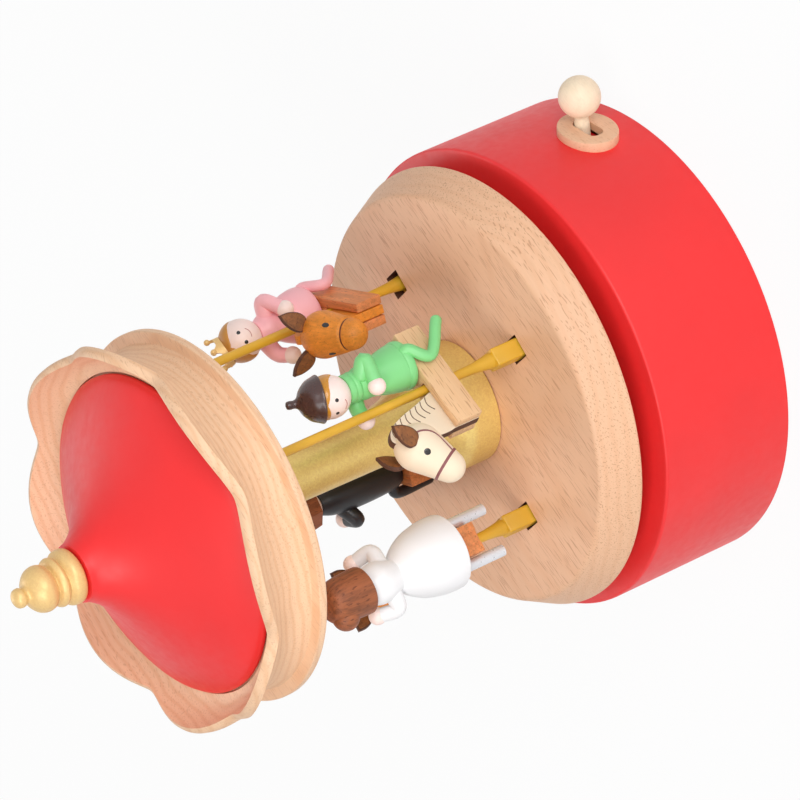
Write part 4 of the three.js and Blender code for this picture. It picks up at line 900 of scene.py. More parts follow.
class MUSICBOX_OT_roof(bpy.types.Operator):
    """Make the red roof and the gold finial"""

    bl_idname = "musicbox.roof"
    bl_label = "Roof and finial"

    def execute(self, context):
        bottom = CANOPY_BOTTOM + RECESS_HEIGHT + GAP
        shares = np.vstack([[[0, 0], [0.985, 0], [1, 0.03]], through(ROOF_SHARES), [[0, 1]]])
        profile = shares * [ROOF_RADIUS, ROOF_HEIGHT]
        roof = made("roof", [turned(profile, FINE_SIDES) + [0, 0, bottom]], red_lacquer())
        settled(roof, "turntable", "red_paint", "roof_cone")
        seat = [0, 0, bottom + ROOF_HEIGHT + GAP]
        shares = np.vstack([[[0, 0]], through(FINIAL_SHARES, 5)])
        knob = turned(shares * [FINIAL_RADIUS, FINIAL_HEIGHT]) + seat
        peg = plug(FINIAL_PEG_RADIUS, -8, 1) + seat
        finial = made("gold_finial", [knob, peg], pearl_gold(), SOFT_SHARP_ANGLE)
        settled(finial, "turntable", "gold_paint", "finial")
        return {"FINISHED"}


# Carriers

SADDLE_HEIGHT = 8.7
SADDLE_AHEAD = 15.0
SADDLE_BEHIND = 17.5
PLANK = 2.8
NECK_THICKNESS = 2.8
NECK_HEIGHT = 19.5
POLE_RADIUS = 1.4
FOOT_WIDTH = 5.6
FOOT_LENGTH = 18.0
HEAD_RADIUS = 6.3
EGG_RADIUS = 7.0
MUZZLE_RADIUS = 4.6
EGG_SPAN = 10.2
EGG_SIDES = 64
GROOVE_AT = EGG_SPAN - 1.0  # along a brown horse's head from its back ball's middle
GROOVE_DEPTH = 0.55
NOSEBAND_AT = 8.9  # along the pale horse's head
NOSEBAND_WIDTH = 0.9
# The pale horse's cheek strap: its places along the head, and round it from the top in degrees
CHEEK_ALONG = [NOSEBAND_AT - 0.2, 6.0, 3.2, 0.6, -1.6, -2.8]
CHEEK_AROUND = np.array([112, 116, 118, 108, 92, 74])
CHEEK_WIDTH = 0.62
EGG_TILT = {"boy": 27.0, "princess": 18.0, "groom": 27.0, "bride": 27.0}
EGG_BACK = np.array([15.2, 0.0, SADDLE_HEIGHT + 12.9])
HEADINGS = {"boy": 203.0, "princess": 250.0, "groom": 68.0, "bride": 94.0}
BEHIND = {"boy": 9.9, "princess": 9.9, "groom": 9.9, "bride": 13.3}


def carried_by(label, points):
    """Points of a carrier's own frame, put where that carrier stands."""
    bottom = corners_of(label + "_saddle")[0][2]
    return turn(points, "Z", HEADINGS[label]) + [*spot(label), bottom]


class MUSICBOX_OT_poles(bpy.types.Operator):
    """Make the four poles with their square feet"""

    bl_idname = "musicbox.poles"
    bl_label = "Poles"

    def execute(self, context):
        brushed = {"rough": 0.38, "mottle": 0.1, "bump_mm": 0.02, "patch_mm": 1.5}
        paint = look("ochre pole paint", lacquer, colours().ochre, **brushed)
        for label in CARRIERS:
            low, high = corners_of(label + "_pole")
            shoulder = low[2] + FOOT_LENGTH
            rings = pole_rings(high[2] - shoulder)
            pole = made(label + "_rod", [turn(rings, "Z", POLE_TURN) + [*spot(label), shoulder]], paint)
            settled(pole, label + "_carrier", "ochre_paint", label + "_pole")
        return {"FINISHED"}


def pole_rings(rise):
    """Rings up a pole. Each ring's radius is divided by a power of the larger of cosine and sine: power one
    makes a square for the foot and power nought a circle for the cone and the rod."""
    half = FOOT_WIDTH / 2
    # Height above the foot's shoulder, half width and power of each ring
    stations = np.array(
        [
            [-FOOT_LENGTH, half - 0.3, 1.0],
            [-FOOT_LENGTH + 0.3, half, 1.0],
            [-0.35, half, 1.0],
            [-0.1, half - 0.12, 0.96],
            [0.05, half - 0.35, 0.75],
            [0.12, half - 0.4, 0.0],
            [0.7, half - 0.42, 0.0],
            [3.2, half - 0.85, 0.0],
            [6.2, half - 1.2, 0.0],
            [9.0, POLE_RADIUS + 0.08, 0.0],
            [12.5, POLE_RADIUS, 0.0],
            [rise, POLE_RADIUS, 0.0],
        ]
    )
    angle = np.linspace(0, FULL_TURN, 64, endpoint=False)
    # The corners are cut off at a third over the half width, so they look worn.
    square = np.minimum(1 / np.maximum(np.abs(np.cos(angle)), np.abs(np.sin(angle))), 1.33)
    height, radius, power = stations.T
    rim = radius[:, None] * square[None] ** power[:, None]
    level = np.broadcast_to(height[:, None], rim.shape)
    return np.stack([rim * np.cos(angle), rim * np.sin(angle), level], -1)


def egg_radius(t):
    """Radius of a horse's head along its axis: a large ball, a small ball and the cone that joins them."""
    lean = math.asin((EGG_RADIUS - MUZZLE_RADIUS) / EGG_SPAN)
    cone = (EGG_RADIUS - t * math.sin(lean)) / math.cos(lean)
    back = np.sqrt(np.maximum(EGG_RADIUS**2 - t**2, 0))
    front = np.sqrt(np.maximum(MUZZLE_RADIUS**2 - (t - EGG_SPAN) ** 2, 0))
    first = EGG_RADIUS * math.sin(lean)
    second = EGG_SPAN + MUZZLE_RADIUS * math.sin(lean)
    return np.where(t < first, back, np.where(t > second, front, cone))


def on_egg(label, t, around, lift):
    """Points on a horse's head: t along its axis from the back ball's middle, around it from its top towards
    the left in radians, and lifted off its surface."""
    tilt = math.radians(EGG_TILT[label])
    along = np.array([math.cos(tilt), 0, -math.sin(tilt)])
    up = np.array([math.sin(tilt), 0, math.cos(tilt)])
    side = np.array([0, 1.0, 0])
    radius = (egg_radius(t) + lift)[..., None]
    outward = np.cos(around)[..., None] * up + np.sin(around)[..., None] * side
    return carried_by(label, EGG_BACK + t[..., None] * along + radius * outward)


def egg_rings(label):
    """The head as rings along its axis. On a brown horse a groove dips the radius in a narrow bell curve."""
    back = -EGG_RADIUS * np.cos(np.radians(np.linspace(0, 90, 24)))
    front = EGG_SPAN + MUZZLE_RADIUS * np.sin(np.radians(np.linspace(4, 90, 20)))
    t = np.concatenate([back, np.linspace(0.3, EGG_SPAN, 50), front])
    deep = 0.0 if label == PALE_HORSE else GROOVE_DEPTH
    dip = -deep * np.exp(-(((t - GROOVE_AT) / 0.45) ** 2))
    around = np.linspace(0, FULL_TURN, EGG_SIDES, endpoint=False)
    grid_t, grid_a = np.meshgrid(t, around, indexing="ij")
    return on_egg(label, grid_t, grid_a, np.broadcast_to(dip[:, None], grid_t.shape))


def spot_on_egg(label, t, around_degrees, long_half, wide_half):
    """A painted spot on a horse's head: rings of an oval that rise a little in its middle and sink at its
    rim."""
    share = np.linspace(1, 0, 9)[:, None]
    angle = np.linspace(0, FULL_TURN, 28, endpoint=False)[None]
    at_t = t + long_half * share * np.cos(angle)
    around = math.radians(around_degrees) + wide_half * share * np.sin(angle) / egg_radius(np.array(t))
    lift = 0.16 * (1 - share**4) - 0.08
    return on_egg(label, at_t, around, np.broadcast_to(lift, at_t.shape))


def strap_on_egg(label, ts, arounds, width):
    """A painted band along a path on a horse's head, a flat tube that stands a hair proud of the surface."""
    path_t, path_a = through(np.stack([ts, np.radians(arounds)], -1), 10).T
    path = on_egg(label, path_t, path_a, np.zeros_like(path_t))
    outward = on_egg(label, path_t, path_a, np.ones_like(path_t)) - path
    outward /= np.linalg.norm(outward, axis=1, keepdims=True)
    side = np.cross(outward, np.gradient(path, axis=0))
    side /= np.linalg.norm(side, axis=1, keepdims=True)
    angle = np.linspace(0, FULL_TURN, 12, endpoint=False)[None, :, None]
    return path[:, None] + width / 2 * np.cos(angle) * side[:, None] + 0.16 * np.sin(angle) * outward[:, None]


def groove_line(label):
    """The dark line in the bottom of a brown horse's groove, a flat ring round the head's axis."""
    around = np.linspace(0, FULL_TURN, EGG_SIDES, endpoint=False)
    path = on_egg(label, np.full(EGG_SIDES, GROOVE_AT), around, np.full(EGG_SIDES, -0.5))
    outward = path - path.mean(0)
    outward /= np.linalg.norm(outward, axis=1, keepdims=True)
    # Two outward directions a quarter turn apart give the axis.
    along = np.cross(outward[0], outward[EGG_SIDES // 4])
    angle = np.linspace(0, FULL_TURN, 10, endpoint=False)[None, :, None]
    return path[:, None] + 0.33 * np.cos(angle) * along + 0.12 * np.sin(angle) * outward[:, None]


# Each ear's rise above level and turn from straight ahead in degrees, and its root as shares of EGG_RADIUS
BROWN_EAR = (50.0, 108.0, (-0.25, 0.55, 0.6))
PALE_EAR = (35.0, 155.0, (0.15, 0.8, 0.45))
# Each eye's place along the head and round it from the top in degrees, and its half length and half width
BROWN_EYE = (4.8, 47, 1.3, 0.9)
PALE_EYE = (3.2, 56, 1.15, 1.15)
EAR_LENGTH = 9.0
EAR_THICKNESS = 1.4


def horse_ear(label, side):
    """A leaf cut from thin board that leans outwards: side is 1 on the horse's left and -1 on its right."""
    rise, outwards, root = PALE_EAR if label == PALE_HORSE else BROWN_EAR
    upper = through([[0, -0.1], [0.14, -0.27], [0.42, -0.31], [0.75, -0.2], [1.0, 0.0]], 6)
    lower = through([[1.0, 0.0], [0.75, 0.2], [0.42, 0.31], [0.14, 0.27], [0, 0.1]], 6)
    leaf = slab(np.vstack([upper, lower[1:]]) * EAR_LENGTH, EAR_THICKNESS, 0.35)
    # The leaf is cupped: points away from its middle line bend towards the front.
    leaf[..., 1] += side * (0.2 - 0.07 * leaf[..., 2] ** 2)
    placed = turn(turn(leaf, "Y", -rise), "Z", side * outwards)
    ahead, out, up = np.array(root) * EGG_RADIUS
    return carried_by(label, placed + EGG_BACK + [ahead, side * out, up])


# The mane edge, as shares of the neck's width and height, from its front foot round to its back foot
NECK_SHARES = [
    [1, 0], [1.02, 0.15], [0.98, 0.5], [0.9, 0.85], [0.72, 1], [0.52, 0.96], [0.36, 0.82], [0.24, 0.6],
    [0.14, 0.32], [0, 0],
]


MANE_HEIGHTS = np.linspace(2.2, 17.3, 8)  # above the saddle
MANE_REACH = 4.6
MANE_ARCH = 0.9
MANE_DROP = 0.5


def neck_outline():
    """The neck board's side view: upright from the saddle's underside, then the curved mane edge."""
    back = POLE_RADIUS + GAP
    curve = through(NECK_SHARES, 6) * [SADDLE_AHEAD - back, NECK_HEIGHT] + [back, SADDLE_HEIGHT]
    return np.vstack([[[back, 0], [SADDLE_AHEAD, 0]], curve])


def mane_line(height, side):
    """One burnt line on the neck's face: from the mane edge it runs forward in a low arch, half a sine that
    ends a little lower than it starts."""
    curve = neck_outline()[2:]
    edge = curve[len(curve) // 2 :][::-1]
    start = np.interp(SADDLE_HEIGHT + height, edge[:, 1], edge[:, 0])
    t = np.linspace(0, 1, 12)
    x = start + 0.25 + MANE_REACH * t
    z = SADDLE_HEIGHT + height + MANE_ARCH * np.sin(math.pi * t) - MANE_DROP * t
    y = np.full_like(x, side * NECK_THICKNESS / 2)
    return np.stack([x, y, z], -1)


class MUSICBOX_OT_horses(bpy.types.Operator):
    """Make the saddles, the necks and the heads of the four horses"""

    bl_idname = "musicbox.horses"
    bl_label = "Horses"

    def execute(self, context):
        for label in CARRIERS:
            self.saddle(label)
            self.neck(label)
            self.head(label)
            self.bridle(label)
        return {"FINISHED"}

    def saddle(self, label):
        """Two planks beside the neck, and behind the pole a filler that stops just short of their edges."""
        edge = sizes().board_edge
        inner = (NECK_THICKNESS + 2 * GAP) / 2
        outer = inner + PLANK
        filler_low = [0.2 - SADDLE_BEHIND, -inner - 0.1, 0.2]
        filler_high = [-POLE_RADIUS - GAP, inner + 0.1, SADDLE_HEIGHT - 0.2]
        planks = [
            block([-SADDLE_BEHIND, inner, 0], [SADDLE_AHEAD, outer, SADDLE_HEIGHT], edge),
            block([-SADDLE_BEHIND, -outer, 0], [SADDLE_AHEAD, -inner, SADDLE_HEIGHT], edge),
            block(filler_low, filler_high, 0.05),
        ]
        heading = HEADINGS[label]
        if label == PALE_HORSE:
            slot = "beech"
            finish = look("beech saddle", wood, colours().saddle_beech, heading, fleck=0.6, rings=0.2)
        else:
            slot = "mahogany"
            oiled = {"pore": 0.45, "streak": 0.35}
            finish = look("brown saddle " + label, porous, colours().saddle_brown, heading, **oiled)
        piece = made(label + "_planks", [carried_by(label, rings) for rings in planks], finish)
        settled(piece, label + "_carrier", slot, label + "_saddle")

    def neck(self, label):
        """A board cut to the mane's curve. The pale horse's has a browned rim and burnt lines."""
        board = carried_by(label, slab(neck_outline(), NECK_THICKNESS, sizes().board_edge))
        piece = made(label + "_neck", [board], [horse_finish(label), burnt_edge()])
        if label != PALE_HORSE:
            settled(piece, label + "_carrier", "mahogany", label + "_horse_neck")
            return
        brown_rim(piece, HEADINGS[label] + 90)
        settled(piece, label + "_carrier", "cream_paint", label + "_horse_neck")
        paths = [mane_line(height, side) for height in MANE_HEIGHTS for side in (1, -1)]
        width = sizes().mane_line
        lines = [carried_by(label, carried(path, width / 2, LINE_SIDES)) for path in paths]
        mane = made(label + "_mane_lines", lines, look("mane line", lacquer, linear("#6B4A34"), rough=0.7))
        settled(mane, label + "_carrier", "walnut")

    def head(self, label):
        """The egg of a head with two leaf-shaped ears and two painted eyes."""
        head = made(label + "_horse_face", [egg_rings(label)], horse_finish(label))
        slot = "cream_paint" if label == PALE_HORSE else "mahogany"
        settled(head, label + "_carrier", slot, label + "_horse_head")
        walnut = look("ear walnut " + label, porous, colours().ear_brown, HEADINGS[label], pore=0.6)
        leaves = [horse_ear(label, side) for side in (1, -1)]
        ears = made(label + "_horse_ears", leaves, [walnut, burnt_edge()])
        burnt_outline(ears)
        settled(ears, label + "_carrier", "walnut")
        along, around, long_half, wide_half = PALE_EYE if label == PALE_HORSE else BROWN_EYE
        eyes = [spot_on_egg(label, along, side * around, long_half, wide_half) for side in (1, -1)]
        settled(made(label + "_horse_eyes", eyes, eye_black()), label + "_carrier", "black_paint")

    def bridle(self, label):
        """The pale horse's painted noseband and cheek straps, or the dark line in a brown horse's groove."""
        if label == PALE_HORSE:
            slot, finish = "brown_paint", look("painted strap", lacquer, colours().strap, rough=0.5)
            straps = [strap_on_egg(label, np.full(49, NOSEBAND_AT), np.linspace(0, 360, 49), NOSEBAND_WIDTH)]
            for side in (1, -1):
                straps.append(strap_on_egg(label, CHEEK_ALONG, side * CHEEK_AROUND, CHEEK_WIDTH))
        else:
            slot, finish = "mahogany", look("burnt groove", lacquer, linear("#5B2A12"), rough=0.6)
            straps = [(groove_line(label), True)]
        settled(made(label + "_bridle", straps, finish), label + "_carrier", slot)


def burnt_outline(piece):
    """Gives the second look to the narrow faces round a board, which are the ones with four corners."""
    mesh = piece.data
    corners = np.zeros(len(mesh.polygons), np.int32)
    mesh.polygons.foreach_get("loop_total", corners)
    mesh.polygons.foreach_set("material_index", (corners <= 4).astype(np.int32))


def brown_rim(piece, side_degrees):
    """Gives the second look to the faces of a board that don't lie flat against its side direction."""
    mesh = piece.data
    normals = np.zeros(len(mesh.polygons) * 3, np.float32)
    mesh.polygons.foreach_get("normal", normals)
    side = np.array([math.cos(math.radians(side_degrees)), math.sin(math.radians(side_degrees)), 0])
    rim = np.abs(normals.reshape(-1, 3) @ side) < 0.6
    mesh.polygons.foreach_set("material_index", rim.astype(np.int32))


# Riders

BODY_SHARES = {
    "boy": [
        [0.86, 0], [0.97, 0.02], [1, 0.07], [0.97, 0.115], [0.945, 0.13], [0.955, 0.15], [0.92, 0.24],
        [0.82, 0.4], [0.71, 0.53], [0.66, 0.64], [0.665, 0.73], [0.6, 0.79], [0.565, 0.815], [0.61, 0.84],
        [0.6, 0.88], [0.575, 0.9], [0.6, 0.93], [0.58, 1],
    ],
    "princess": [
        [0.8, 0], [0.92, 0.03], [0.985, 0.1], [1, 0.2], [0.93, 0.38], [0.76, 0.54], [0.62, 0.64],
        [0.585, 0.7], [0.6, 0.8], [0.57, 0.87], [0.48, 0.94], [0.42, 1],
    ],
    "bride": [
        [0.93, 0], [0.985, 0.012], [0.995, 0.05], [1, 0.12], [0.97, 0.24], [0.87, 0.4], [0.68, 0.54],
        [0.46, 0.645], [0.44, 0.67], [0.5, 0.74], [0.555, 0.83], [0.54, 0.91], [0.46, 1],
    ],
    "groom": [
        [0.8, 0], [0.9, 0.05], [0.96, 0.16], [1, 0.38], [0.98, 0.65], [0.86, 0.85], [0.68, 0.96], [0.6, 1],
    ],
}
HEM_RADIUS = {"boy": 7.4, "princess": 8.1, "bride": 11.3, "groom": 5.8}
BODY_HEIGHT = {"boy": 21.6, "princess": 19.5, "bride": 29.5, "groom": 28.5}
# Points of an arm from the shoulder to the hand, and of a leg from the hip down, in head radii: ahead of the
# body's axis, to its left, and above the saddle. A leg's second number is counted outwards from the place
# where the leg clears the saddle's side.
ARM_SHARES = {
    "boy": {
        "left": [[-0.1, 0.62, 2.6], [-0.5, 1, 2.25], [0.8, 0.8, 2.4]],
        "right": [[0, -0.6, 2.75], [0.75, -0.85, 2.9], [1.45, -0.75, 2.95]],
    },
    "princess": {
        "left": [[0, 0.6, 2.45], [0.05, 1.3, 2.4], [0.95, 0.85, 1.9]],
        "right": [[0, -0.6, 2.75], [0.55, -1.15, 2.6], [1.2, -1.25, 2.25]],
    },
    "bride": {
        "left": [[0, 0.7, 3.55], [0.35, 1.4, 3.5], [1.05, 1.3, 4.2]],
        "right": [[0, -0.7, 3.55], [0.35, -1.4, 3.5], [1.05, -1.3, 4.2]],
    },
    "groom": {
        "left": [[0, 0.7, 3.2], [-0.4, 1.35, 2.85], [0.5, 1.45, 2.95]],
        "right": [[0, -0.7, 3.2], [-0.4, -1.35, 2.85], [0.5, -1.45, 2.95]],
    },
}
ARM_RADII = [2.6, 2.35, 2.1]  # shoulder, elbow and wrist
HAND_RADIUS = 2.6
SMILE = ([-15, -8, 0, 8, 15], [-19, -23, -24.5, -23, -19])  # azimuths and heights in degrees
SMILE_WIDTH = 0.22
SITTING_LEG = [[-0.1, -0.3, 0.4], [-0.1, 0.08, 0.12], [0.6, 0.08, -0.7], [-0.8, 0.15, -1.95]]
LEG_RADIUS = 1.7
LEG_SHARES = {
    "boy": SITTING_LEG,
    "princess": SITTING_LEG,
    "groom": [[-0.1, -0.3, 0.4], [-0.1, 0.08, 0.12], [-0.05, 0.08, -1.7]],
    "bride": [[0.05, 0, -0.3], [0.05, 0, -2.6]],
}
# The way each face looks: turn from the horse's heading, lift of the eyes and tilt of the head, in degrees
FACE_TURN = {"boy": 30.0, "princess": 30.0, "groom": 0.0, "bride": 0.0}
FACE_LIFT = {"boy": 9.0, "princess": 20.0, "groom": 5.0, "bride": 5.0}
FACE_TILT = {"boy": 0.0, "princess": 14.0, "groom": 0.0, "bride": 0.0}
EYE_TURN = {"boy": 20.0, "princess": 16.5, "groom": 16.5, "bride": 16.5}
EYE_HEIGHT = {"boy": 5.0, "princess": 2.0, "groom": 2.0, "bride": 2.0}


def head_middle(label):
    """The middle of a rider's head in the carrier's frame, resting on the rim of the collar."""
    collar_radius = BODY_SHARES[label][-1][0] * HEM_RADIUS[label]
    rise = math.sqrt((HEAD_RADIUS + GAP) ** 2 - collar_radius**2)
    return np.array([-BEHIND[label], 0, SADDLE_HEIGHT + GAP + BODY_HEIGHT[label] + rise])


def on_face(label, azimuth, height, lift):
    """Points on a head: azimuth from the face's middle and height above its eye line, in degrees, and lifted
    off its surface."""
    azimuth, height = np.broadcast_arrays(np.radians(azimuth), np.radians(height))
    ahead, side, up = np.cos(height) * np.cos(azimuth), np.cos(height) * np.sin(azimuth), np.sin(height)
    level = np.stack([ahead, side, up], -1) * (HEAD_RADIUS + lift)[..., None]
    looking = turn(turn(turn(level, "Y", -FACE_LIFT[label]), "X", FACE_TILT[label]), "Z", FACE_TURN[label])
    return carried_by(label, looking + head_middle(label))


def painted_dot(label, azimuth, height, radius):
    """A dot of paint on a head: rings round its middle that rise a little and sink at the rim."""
    share = np.linspace(1, 0, 7)[:, None]
    angle = np.linspace(0, FULL_TURN, 24, endpoint=False)[None]
    reach = math.degrees(radius / HEAD_RADIUS)
    azimuths = azimuth + reach * share * np.cos(angle) / math.cos(math.radians(height))
    heights = height + reach * share * np.sin(angle)
    lift = np.broadcast_to(0.13 * (1 - share**4) - 0.06, heights.shape)
    return on_face(label, azimuths, heights, lift)


def painted_line(label, azimuths, heights, width):
    """A thin line of paint along a path on a head."""
    path = through(np.stack([azimuths, heights], -1), 8)
    points = on_face(label, path[:, 0], path[:, 1], np.zeros(len(path)))
    return carried(points, width / 2, LINE_SIDES)


def painted_hair(label, azimuths, edges):
    """A cap of painted hair: at each azimuth it runs from the top of the head down to its edge, where it
    thins to nothing."""
    angle = np.linspace(-180, 180, 97)[:-1]
    edge = np.interp(angle, azimuths, edges, period=360)
    share = np.linspace(0, 1, 22)[:, None]
    height = 90 - share * (90 - edge)
    thick = HAIR_THICKNESS * (1 - share**14) - 0.1 * share**14
    return on_face(label, np.broadcast_to(angle, height.shape), height, thick)


class MUSICBOX_OT_riders(bpy.types.Operator):
    """Make the riders' bodies, heads, faces, arms and legs"""

    bl_idname = "musicbox.riders"
    bl_label = "Riders"

    def execute(self, context):
        skin = look("skin paint", lacquer, colours().skin, rough=0.45, mottle=0.02)
        # Colour, roughness and clouding of each rider's clothes
        clothes = {
            "boy": ("green", 0.4, 0.05),
            "princess": ("pink", 0.45, 0.04),
            "bride": ("white", 0.42, 0.01),
            "groom": ("black", 0.4, 0.08),
        }
        for label in CARRIERS:
            name, rough, mottle = clothes[label]
            finish = look(name + " paint", lacquer, getattr(colours(), name), rough=rough, mottle=mottle)
            slot = name + "_paint"
            self.body(label, finish, slot)
            self.head(label, skin)
            self.arms(label, finish, slot, skin)
            self.legs(label, finish, slot)
        return {"FINISHED"}

    def body(self, label, finish, slot):
        """A turned body: its profile in shares of the hem's radius and of its height."""
        shares = through(BODY_SHARES[label], 5) * [HEM_RADIUS[label], BODY_HEIGHT[label]]
        profile = np.vstack([[[0, 0]], shares, [[0, BODY_HEIGHT[label]]]])
        seated = turned(profile, BODY_SIDES) + [-BEHIND[label], 0, SADDLE_HEIGHT + GAP]
        body = made(label + "_torso", [carried_by(label, seated)], finish, TURNED_SHARP_ANGLE)
        settled(body, label + "_carrier", slot, label + "_body")

    def head(self, label, skin):
        """A ball with two painted eyes and a painted smile."""
        head = made(label + "_face", [carried_by(label, ball(HEAD_RADIUS) + head_middle(label))], skin)
        settled(head, label + "_carrier", "skin_paint", label + "_head")
        radius = sizes().eye_radius
        eyes = [painted_dot(label, side * EYE_TURN[label], EYE_HEIGHT[label], radius) for side in (1, -1)]
        settled(made(label + "_eyes", eyes, eye_black()), label + "_carrier", "black_paint")
        smile = painted_line(label, *SMILE, SMILE_WIDTH)
        brown = look("mouth line paint", lacquer, linear("#B87068"), rough=0.5)
        settled(made(label + "_smile", [smile], brown), label + "_carrier", "skin_paint")

    def arms(self, label, finish, slot, skin):
        """Sleeves along bent lines that narrow from the shoulder, each with a ball for a hand at its end."""
        for side, shares in ARM_SHARES[label].items():
            points = np.array(shares) * HEAD_RADIUS + [-BEHIND[label], 0, SADDLE_HEIGHT]
            rings = carried_by(label, round_ended(points, ARM_RADII, 8))
            sleeve = made(f"{label}_sleeve_{side}", [rings], finish, SOFT_SHARP_ANGLE)
            settled(sleeve, label + "_carrier", slot, f"{label}_arm_{side}")
            hand = made(f"{label}_hand_{side}", [carried_by(label, ball(HAND_RADIUS, points[-1], 32))], skin)
            settled(hand, label + "_carrier", "skin_paint")

    def legs(self, label, finish, slot):
        """Legs along bent lines beside the saddle. The bride's are straight, with their tops in the dress."""
        out = PLANK + NECK_THICKNESS / 2 + 2 * GAP + LEG_RADIUS
        if label == "bride":
            finish = look("silver leg paint", gold_paint, colours().silver, 0.45, 0.36, sparkle=0.12)
            slot = "silver_paint"
        for side, sign in (("left", 1), ("right", -1)):
            points = np.array(LEG_SHARES[label]) * HEAD_RADIUS
            points[:, 1] = sign * (out + points[:, 1])
            points += [-BEHIND[label], 0, SADDLE_HEIGHT]
            if label == "bride":
                rings = carried(points, LEG_RADIUS)
            else:
                rings = round_ended(points, [LEG_RADIUS] * 3, 8)
            leg = made(f"{label}_leg_piece_{side}", [carried_by(label, rings)], finish, SOFT_SHARP_ANGLE)
            stands_for = [f"bride_leg_{side}"] if label == "bride" else []
            settled(leg, label + "_carrier", slot, *stands_for)


HAIR_THICKNESS = 0.28  # of the painted hair
# The lower edge of the painted hair, in degrees: azimuths from the face's middle, heights above the eye line
BOY_HAIR = (
    [-180, -110, -75, -45, -20, 0, 8, 18, 40, 60, 80, 110],
    [-28, -22, 8, 19, 21, 25, 29, 24, 16, 11, 2, -22],
)
PRINCESS_HAIR = (
    [-180, -110, -80, -60, -30, -8, 0, 8, 30, 60, 80, 110],
    [-35, -30, -12, 6, 26, 38, 44, 38, 28, 8, -8, -30],
)
CAP_HEIGHT = 7.7
CAP_SEAT = 0.4 * HEAD_RADIUS  # above the head's middle
CAP_LEAN = -20
CAP_TURN = 30
CAP_SHARES = [
    [1.0, 0.0], [1.05, 0.02], [1.06, 0.07], [1.0, 0.2], [0.86, 0.48], [0.56, 0.74], [0.27, 0.88],
    [0.18, 1.02], [0.19, 1.18], [0.15, 1.3], [0.0, 1.34],
]
CROWN_RADIUS = 0.74 * HEAD_RADIUS
CROWN_WALL = 1.1
CROWN_LOW = 1.7  # between two prongs
CROWN_HEIGHT = 3.5
CROWN_FLARE = 0.14
CROWN_TURN = 36
CROWN_SEAT = 0.78 * HEAD_RADIUS  # above the head's middle
CROWN_TILT = 20
CROWN_LEAN = -24
PRONGS = 5
BEAD_RADIUS = 0.93
TURNED_HAIR_RADIUS = HEAD_RADIUS + 0.8
TURNED_HAIR_HEIGHT = {"bride": 13.5, "groom": 10.5}
TURNED_HAIR_BELOW = {"bride": 3.5, "groom": 3.2}  # the head's middle
BELL_SHARES = [[0.9, 0], [0.98, 0.03], [1, 0.1], [0.98, 0.4], [0.93, 0.7], [0.8, 0.9], [0.6, 1]]
FACET_SHARES = np.array([[0, 0], [0.94, 0], [1, 0.25], [1, 0.6], [0.72, 1], [0, 1]])
BUN_RADIUS = 4.0


def crown_parts():
    """The crown about its own axis. Its ring flares a little as it rises. Its upper edge is low between the
    prongs and rises to each in a narrow bell, a high power of a cosine, and each prong carries a bead."""
    angle = np.linspace(0, FULL_TURN, FINE_SIDES, endpoint=False)
    wave = np.abs(np.cos(PRONGS / 2 * (angle - math.radians(CROWN_TURN)))) ** 8
    top = CROWN_LOW + (CROWN_HEIGHT - CROWN_LOW) * wave
    foot = 0 * top
    outside = CROWN_RADIUS * (1 + CROWN_FLARE * top / CROWN_HEIGHT)
    section = [
        (foot + CROWN_RADIUS - CROWN_WALL, foot),
        (foot + CROWN_RADIUS, foot),
        (outside, top),
        (outside - CROWN_WALL * 0.8, top),
    ]
    ring = np.stack([np.stack([r * np.cos(angle), r * np.sin(angle), h], -1) for r, h in section])
    out = CROWN_RADIUS * (1 + CROWN_FLARE) - 0.3
    turns = np.radians(CROWN_TURN + 360 / PRONGS * np.arange(PRONGS))
    return ring, [ball(BEAD_RADIUS, (out * math.cos(t), out * math.sin(t), CROWN_HEIGHT), 20) for t in turns]


